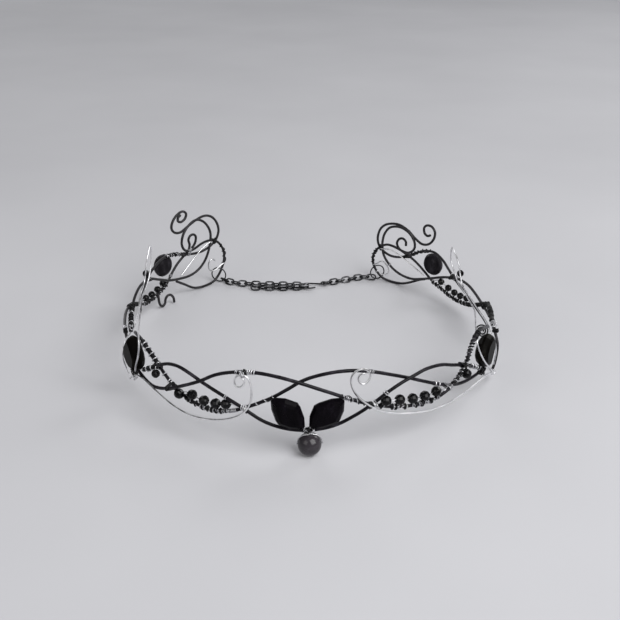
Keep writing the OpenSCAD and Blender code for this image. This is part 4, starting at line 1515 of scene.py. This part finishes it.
@dataclass(frozen=True)
class Knot:
    """Lump of tangled wire that winds about a point beside a wire."""

    route: Route
    place: float
    reach: tuple[float, float, float]
    shift: tuple[float, float, float]
    size: float
    finish: Finish

    def surface(self) -> Surface:
        """Line about the point: a sine of its own speed along the wire, across it and out.

        Returns:
            The knot.
        """
        spot = np.array([self.place])
        axes = np.stack([self.route.along(spot)[0], self.route.across(spot)[0],
                         self.route.away(spot)[0]])
        turn = np.linspace(0, 2 * math.pi, 150)
        shares = np.stack([np.sin(2 * turn + 0.4) * (0.8 + 0.2 * np.sin(7 * turn)),
                           np.sin(5 * turn + self.place), np.sin(4 * turn + 1.3)], axis=1)
        middle = self.route.points(spot)[0] + np.array(self.shift) @ axes
        line = middle + (shares * np.array(self.reach)) @ axes
        return tube(line, line - middle + 0.01 * axes[2], self.size, FINE_SIDES)


@dataclass(frozen=True)
class Rosette:
    """Flat spiral of wire that faces the front."""

    row: tuple[float, float, float]
    reach: float
    size: float
    phase: float
    finish: Finish

    def surface(self) -> Surface:
        """Spiral of two and a half turns whose radius grows evenly from a fifth of the reach.

        Returns:
            The rosette.
        """
        turn = np.linspace(0, 5 * math.pi, 120)
        grow = self.reach * (0.2 + 0.8 * turn / turn[-1])
        side, up = np.array([0.92, -0.39, 0.0]), np.array([0.16, 0.37, 0.91])
        line = grow[:, None] * (np.outer(np.cos(turn + self.phase), side)
                                + np.outer(np.sin(turn + self.phase), up))
        line = line + RING.points(np.array(self.row))
        return tube(line, np.tile(np.cross(side, up), (len(line), 1)), self.size, FINE_SIDES)


@dataclass(frozen=True)
class Strand:
    """Loose strand of fine wire through points beside a wire."""

    line: Array
    size: float
    finish: Finish

    def surface(self) -> Surface:
        """Smooth round wire through the points."""
        smooth = spline(self.line, 6)
        return tube(smooth, np.tile([0.3, -1.0, 0.2], (len(smooth), 1)), self.size, FINE_SIDES)


Binding = Wrap | Lashing | Knot | Rosette | Strand


@dataclass
class Bindings:
    """All the fine wire that holds the diadem together: spaced wraps, lashings, ties, knots."""

    silver: float = 0.3
    bright: float = 0.42
    black: float = 0.5

    @property
    def kinds(self) -> tuple[tuple[float, Finish], ...]:
        """Size and finish of the thin and the wide silver wire and of the black one."""
        return ((self.silver, Finish.THREAD), (self.bright, Finish.THREAD),
                (self.black, Finish.FINE_BLACK))

    def wraps(self) -> dict[str, list[Binding]]:
        """Spaced wraps. Columns: wire, from place, to place, pitch, size and finish.

        Returns:
            The wraps by group.
        """
        thin, _, dark = self.kinds
        fine = (self.silver, Finish.FINE_BLACK)
        stretches = {
            "left_front": (
                (LEFT_RAIL, 14.85, 16.1, 3.3, thin), (LEFT_RAIL, 17.3, 19.6, 2.3, thin),
                (LEFT_RAIL, 19.6, 20.9, 2.6, dark), (LEFT_RAIL, 16.95, 17.45, 0.55, thin),
                (LEFT_RAIL, 22.75, 24.7, 0.42, fine), (FRONT_LOWER, 0.5, 3.35, 0.5, fine)),
            "right_front": (
                (RIGHT_RAIL, 15.3, 20.0, 15.0, thin), (RIGHT_RAIL, 16.9, 18.9, 2.9, thin),
                (RIGHT_RAIL, 12.75, 13.9, 1.9, thin), (RIGHT_RAIL, 12.95, 14.2, 2.6, dark),
                (RIGHT_RAIL, 20.3, 21.5, 1.5, dark), (RIGHT_RAIL, 20.4, 21.6, 1.9, thin),
                (RIGHT_RAIL, 22.15, 24.6, 1.35, dark), (RIGHT_RAIL, 22.1, 23.8, 1.35, thin),
                (LEFT_RAIL, 9.08, 9.5, 0.6, thin)),
            "left_back": (
                (LEFT_DIAGONAL, 7.6, 9.1, 0.7, dark), (LEFT_DIAGONAL, 7.5, 9.3, 1.9, thin),
                (LEFT_TOP, 8.6, 11.2, 2.3, dark), (LEFT_TOP, 9.0, 11.0, 3.1, thin),
                (LEFT_DIAGONAL, 10.0, 13.2, 2.2, dark), (LEFT_DIAGONAL, 9.7, 13.3, 2.7, thin),
                (LEFT_END_LOOP, 30.2, 33.0, 3.0, dark)),
            "right_back": (
                (RIGHT_DIAGONAL, 5.3, 8.3, 0.95, dark), (RIGHT_DIAGONAL, 8.4, 11.0, 1.3, dark),
                (RIGHT_DIAGONAL, 8.4, 11.0, 1.3, thin), (RIGHT_DIAGONAL, 11.1, 15.0, 2.2, dark),
                (RIGHT_DIAGONAL, 11.0, 15.2, 2.7, thin), (RIGHT_TOP, 12.4, 15.2, 2.5, dark),
                (RIGHT_END_LOOP, 31.5, 33.8, 1.9, dark)),
        }
        return {group: [Wrap(route, start, end, pitch, *wire, phase=start * 7 + wire[0] * 9)
                        for route, start, end, pitch, wire in rows]
                for group, rows in stretches.items()}

    def turns(self) -> dict[str, list[Binding]]:
        """Single crooked turns. Columns: wire, their places, kind of turns.

        Returns:
            The turns by group.
        """
        # Kinds of turns. Columns: turns, span, size, finish, thickness of what they go round.
        one, two, over, lump, thick = (
            (1.05, 0.1, self.bright, Finish.THREAD, BLACK_WIRE),
            (2.1, 0.9, self.silver, Finish.THREAD, BLACK_WIRE),
            (1.05, 0.1, self.bright, Finish.THREAD, BLACK_WIRE + 1.6 * self.silver),
            (2.0, 0.7, 0.55, Finish.FINE_BLACK, BLACK_WIRE),
            (3.1, 1.7, 0.6, Finish.FINE_BLACK, BLACK_WIRE))
        rows = {
            "left_front": (
                (LEFT_RAIL, (24.26, 23.82, 23.4, 23.04, 22.72), over),
                (LEFT_RAIL, (21.98, 21.5, 21.3, 19.1, 18.86, 18.58, 18.32, 18.08, 17.82), one),
                (LEFT_RAIL, (19.9, 19.45, 18.97, 18.72, 18.45, 18.2, 17.95), lump),
                (FRONT_LOWER, (9.06,), two), (FRONT_LOWER, (0.9, 2.72, 3.4), over),
                (RIGHT_RAIL, (8.58,), lump), (RIGHT_RAIL, (8.24, 8.4), two),
                (RIGHT_RAIL, (8.72, 8.82, 8.92, 9.02), one)),
            "right_front": (
                (RIGHT_RAIL, (15.25, 15.85, 16.04, 16.6, 17.28, 17.62, 18.25), lump),
                (RIGHT_RAIL, (15.95, 16.12, 16.7, 17.45, 18.05, 18.82), one),
                (RIGHT_RAIL, (24.1, 24.5), lump),
                (RIGHT_RAIL, (13.0, 13.15), two),
                (FRONT_LOWER, (17.04, 16.9), one), (LEFT_RAIL, (5.32, 5.04), one),
                (FRONT_LOWER, (24.0, 24.55, 25.1, 25.9), one),
                (FRONT_LOWER, (12.95,), thick),
                (FRONT_LOWER, (12.75, 13.2), two)),
            "left_back": (
                (LEFT_END_LOOP, (4.54, 2.78), one),
                (LEFT_END_LOOP, (4.92, 4.72, 4.25, 3.85, 3.4, 2.3, 1.7, 0.8), lump),
                (LEFT_TOP, (8.8, 9.4, 10.2), two), (LEFT_END_LOOP, (32.9, 33.5), two),
                (LEFT_DIAGONAL, (4.35, 4.1, 13.9), two)),
            "right_back": (
                (RIGHT_DIAGONAL, (8.1, 7.6, 7.1, 6.6, 6.1, 5.6), lump),
                (RIGHT_DIAGONAL, (4.95, 4.75, 4.5), two), (RIGHT_DIAGONAL, (4.2, 5.2), lump),
                (RIGHT_TOP, (8.7, 9.3), one), (RIGHT_END_LOOP, (14.7, 34.9), two)),
        }
        made: dict[str, list[Binding]] = {}
        for group, table in rows.items():
            made[group] = [
                Lashing(((route, place),), span, count, size, finish,
                        0.3 * math.sin(place * 9), girth)
                for route, places, (count, span, size, finish, girth) in table
                for place in places]
        return made

    def lashings(self) -> dict[str, list[Binding]]:
        """Lashings of wires that meet. Columns: strands, span, turns, size and finish.

        Returns:
            The lashings by group.
        """
        thin, wide, dark = self.kinds
        rows = {
            "left_front": (
                (((FRONT_LOWER, 10.12), (LEFT_RAIL, 16.5)), 2.6, 4, wide),
                (((FRONT_LOWER, 10.2), (LEFT_RAIL, 16.42)), 1.2, 2, dark),
                (((RIGHT_RAIL, 3.9), (LEFT_RAIL, 21.1)), 1.8, 3, dark),
                (((RIGHT_RAIL, 3.8), (LEFT_RAIL, 21.2)), 1.4, 1.5, thin),
                (((FRONT_LOWER, 3.62), (LEFT_RAIL, 22.62)), 2.0, 3, dark),
                (((RIGHT_RAIL, 8.5), (LEFT_SWAG, 6.88)), 1.6, 3, thin)),
            "right_front": (
                (((FRONT_LOWER, 16.12), (RIGHT_RAIL, 14.88)), 2.4, 4, wide),
                (((FRONT_LOWER, 15.9), (RIGHT_RAIL, 14.7)), 1.6, 3, dark),
                (((RIGHT_RAIL, 20.0), (LEFT_RAIL, 4.62)), 2.0, 4, thin),
                (((FRONT_LOWER, 22.75), (RIGHT_RAIL, 21.88)), 2.0, 3, thin),
                (((FRONT_LOWER, 22.6), (RIGHT_RAIL, 21.8)), 1.4, 2, dark)),
            "left_back": (
                (((LEFT_TOP, 5.75), (LEFT_END_LOOP, 8.0)), 2.2, 4, dark),
                (((LEFT_TOP, 5.75), (LEFT_END_LOOP, 8.0)), 1.4, 1.5, wide),
                (((LEFT_TOP, 11.5), (LEFT_DIAGONAL, 16.62), (LEFT_END_LOOP, 24.9)), 2.0, 3.5, thin),
                (((LEFT_TOP, 14.88), (LEFT_END_LOOP, 28.88)), 2.0, 4, dark),
                (((LEFT_DIAGONAL, 7.38), (LEFT_END_LOOP, 5.12)), 3.0, 5, dark),
                (((LEFT_DIAGONAL, 7.38), (LEFT_END_LOOP, 5.12)), 2.6, 2, thin)),
            "right_back": (
                (((RIGHT_TOP, 9.0), (RIGHT_END_LOOP, 8.0)), 2.2, 4, dark),
                (((RIGHT_TOP, 15.75), (RIGHT_DIAGONAL, 18.75)), 2.0, 4, dark),
                (((RIGHT_TOP, 19.5), (RIGHT_END_LOOP, 30.75)), 2.0, 4, dark),
                (((RIGHT_DIAGONAL, 7.75), (RIGHT_END_LOOP, 4.0)), 3.0, 5, dark),
                (((RIGHT_DIAGONAL, 7.75), (RIGHT_END_LOOP, 4.0)), 2.6, 2, thin)),
        }
        return {group: [Lashing(strands, span, turns, *wire)
                        for strands, span, turns, wire in table]
                for group, table in rows.items()}

    def knots(self) -> dict[str, list[Binding]]:
        """Lumps. Columns: wire, place, reach, shift (along, across, out), size and finish.

        Returns:
            The knots and rosettes by group.
        """
        thin, wide, dark = self.kinds
        rows = {
            "left_front": (
                (LEFT_FRAME, 0.9, (1.5, 1.2, 0.8), (0.2, 0, 0), thin),
                (LEFT_FRAME, 1.3, (1.0, 1.3, 0.9), (0, 0.3, 0.2), dark)),
            "right_front": (
                (FRONT_LOWER, 26.8, (1.5, 1.3, 1.0), (0.6, -0.6, 0.4), dark),
                (RIGHT_FRAME, 0.6, (1.4, 0.9, 0.9), (0, 0, 0.3), thin),
                (FRONT_LOWER, 26.4, (1.2, 1.2, 0.8), (0.3, -1.2, 0.4), dark)),
            "left_back": (
                (LEFT_DIAGONAL, 4.2, (1.2, 0.9, 0.7), (0, 0.3, 0), wide),
                (LEFT_DIAGONAL, 3.9, (0.9, 0.9, 0.7), (0, 0, 0), dark),
                (LEFT_END_LOOP, 0.2, (1.7, 0.8, 0.7), (-0.8, 0.3, 0), wide),
                (LEFT_END_LOOP, 0.1, (1.2, 0.8, 0.6), (-0.8, -0.4, 0.2), dark)),
            "right_back": (
                (RIGHT_DIAGONAL, 4.75, (1.5, 0.8, 0.8), (0, 0.9, 0.6), thin),
                (RIGHT_DIAGONAL, 4.15, (0.7, 0.9, 0.7), (0, 0.7, 0.6), dark),
                (RIGHT_DIAGONAL, 7.4, (1.6, 0.9, 0.8), (0, 0.3, 0.2), dark),
                (RIGHT_END_LOOP, 7.3, (1.2, 0.9, 0.7), (0, 0.8, 0.5), thin)),
        }
        made = {group: [Knot(route, place, reach, shift, *wire)
                        for route, place, reach, shift, wire in table]
                for group, table in rows.items()}
        made["right_front"] += [Rosette((66.0, 23.2, -3.1), 2.6, 0.6, 0.0, Finish.FINE_BLACK),
                                Rosette((66.0, 23.0, -2.7), 1.2, 0.34, 1.6, Finish.THREAD)]
        return made

    def ties(self, beads: BeadStrings) -> dict[str, list[Binding]]:
        """Strands from each bead's foot to the wire that it stands on, one for each bead.

        Args:
            beads: The strings of beads.

        Returns:
            The strands by group.
        """
        made: dict[str, list[Binding]] = {}
        for name, route, places, size, out, (other, single, side, single_out) in beads.strings():
            made[name] = []
            rows = [(route, places, 1.0, out), (other, single, side, single_out)]
            if name in beads.loose:
                spots, _, way, off = beads.loose[name]
                rows.append((route, spots, way, off))
            for wire, spots, way, off in rows:
                at = np.array(spots)
                middles = beads.middle(wire, at, size, way, off)
                foot = wire.points(at)
                lean = 0.35 * np.cos(at * 23)[:, None] * wire.along(at)
                ahead = 0.3 * wire.away(at)
                # A strand's points. Columns: share of the way from foot to bead, steps out.
                shares = ((0.62, 2.4), (0.3, 2.6), (0.0, 2.9))
                lines = [middles + (foot - middles) * (1 - s) + ahead * a + lean * (1 - 2 * s)
                         for s, a in shares]
                for line in np.stack(lines, axis=1):
                    made[name].append(Strand(line, self.silver + 0.04, Finish.THREAD))
        return made

    def build(self, shop: Workshop, beads: BeadStrings) -> None:
        """Makes one silver and one black piece of bindings for each quarter of the diadem.

        Args:
            shop: Where the pieces are made.
            beads: The strings of beads.
        """
        groups = (self.wraps(), self.turns(), self.lashings(), self.knots(), self.ties(beads))
        for name in groups[0]:
            every = [binding for group in groups for binding in group.get(name, [])]
            for finish, word in ((Finish.THREAD, "silver"), (Finish.FINE_BLACK, "black")):
                parts = [binding.surface() for binding in every if binding.finish is finish]
                shop.piece(f"{name}_{word}_bindings", Surface.joined(parts), finish)


# ---------------------------------------------------------------- stage


@dataclass
class Studio:
    """Pale floor, soft lamps and the camera of the picture, in metres and degrees."""

    target: tuple[float, float, float] = (0.0006, 0.0056, 0.0175)
    distance: float = 0.385
    elevation: float = 25.6
    azimuth: float = -1.9
    roll: float = 0.57
    lens: float = 52.258
    sensor: float = 36.0
    # Columns: name, place, side of the square, power in watts, warmth of its white.
    lamps: tuple[tuple[str, tuple[float, float, float], float, float, float], ...] = (
        ("key_lamp", (0.62, -0.62, 0.86), 1.0, 17.2, 1.0),
        ("fill_lamp", (-1.0, -0.9, 0.9), 1.0, 5.5, 0.98),
        ("back_lamp", (1.05, 0.95, 0.85), 0.6, 5.5, 1.0),
        ("far_lamp", (-0.9, 2.3, 1.3), 1.6, 14.0, 1.0))
    world: float = 0.27
    world_white: Colour = (0.80, 0.81, 0.85)
    floor_half: float = 6.0

    def floor(self) -> None:
        """A wide level floor under the diadem."""
        mesh, half = bpy.data.meshes.new("pale_floor"), self.floor_half
        mesh.from_pydata([(-half, -half, 0), (half, -half, 0), (half, half, 0), (-half, half, 0)],
                         [], [(0, 1, 2, 3)])
        mesh.materials.append(ClothFinish().material())
        ground = bpy.data.objects.new("pale_floor", mesh)
        bpy.context.scene.collection.objects.link(ground)

    def lights(self) -> None:
        """Large square lamps that look at the target, and an even pale surround."""
        for name, spot, size, power, warm in self.lamps:
            lamp = bpy.data.lights.new(name, "AREA")
            lamp.size, lamp.energy, lamp.color = size, power, (1.0, warm, warm * warm)
            made = bpy.data.objects.new(name, lamp)
            aim = (Vector(self.target) - Vector(spot)).to_track_quat("-Z", "Y")
            made.matrix_world = Matrix.Translation(spot) @ aim.to_matrix().to_4x4()
            bpy.context.scene.collection.objects.link(made)
        world = bpy.data.worlds.new("studio")
        world.use_nodes = True
        sky = world.node_tree.nodes["Background"]
        sky.inputs["Color"].default_value = (*self.world_white, 1.0)
        sky.inputs["Strength"].default_value = self.world
        bpy.context.scene.world = world

    def camera(self) -> None:
        """Camera at the picture's height, side and roll."""
        a, e, r = (math.radians(x) for x in (self.azimuth, self.elevation, self.roll))
        back = Vector((math.sin(a) * math.cos(e), -math.cos(a) * math.cos(e), math.sin(e)))
        right = (-back).cross(Vector((0, 0, 1))).normalized()
        up = right.cross(-back)
        x = math.cos(r) * right + math.sin(r) * up
        y = -math.sin(r) * right + math.cos(r) * up
        lens = bpy.data.cameras.new("picture_camera")
        lens.lens, lens.sensor_width, lens.sensor_fit = self.lens, self.sensor, "HORIZONTAL"
        lens.clip_start, lens.clip_end = 0.01, 20.0
        made = bpy.data.objects.new("picture_camera", lens)
        spot = Vector(self.target) + back * self.distance
        made.matrix_world = Matrix.Translation(spot) @ Matrix((x, y, back)).transposed().to_4x4()
        bpy.context.scene.collection.objects.link(made)
        bpy.context.scene.camera = made

    def build(self) -> None:
        """Sets the stage."""
        self.floor()
        self.lights()
        self.camera()
        bpy.context.scene.view_settings.view_transform = "Standard"


def main() -> None:
    """Builds the stage and the diadem's sub-assemblies in order."""
    logging.basicConfig(level=logging.INFO, format="%(message)s")
    shop = Workshop()
    Studio().build()
    for wires in wire_groups():
        wires.build(shop)
    Stones().build(shop)
    beads = BeadStrings()
    beads.build(shop)
    Pendant().build(shop)
    Bindings().build(shop, beads)
    BackChain().build(shop)


if __name__ == "__main__":
    main()
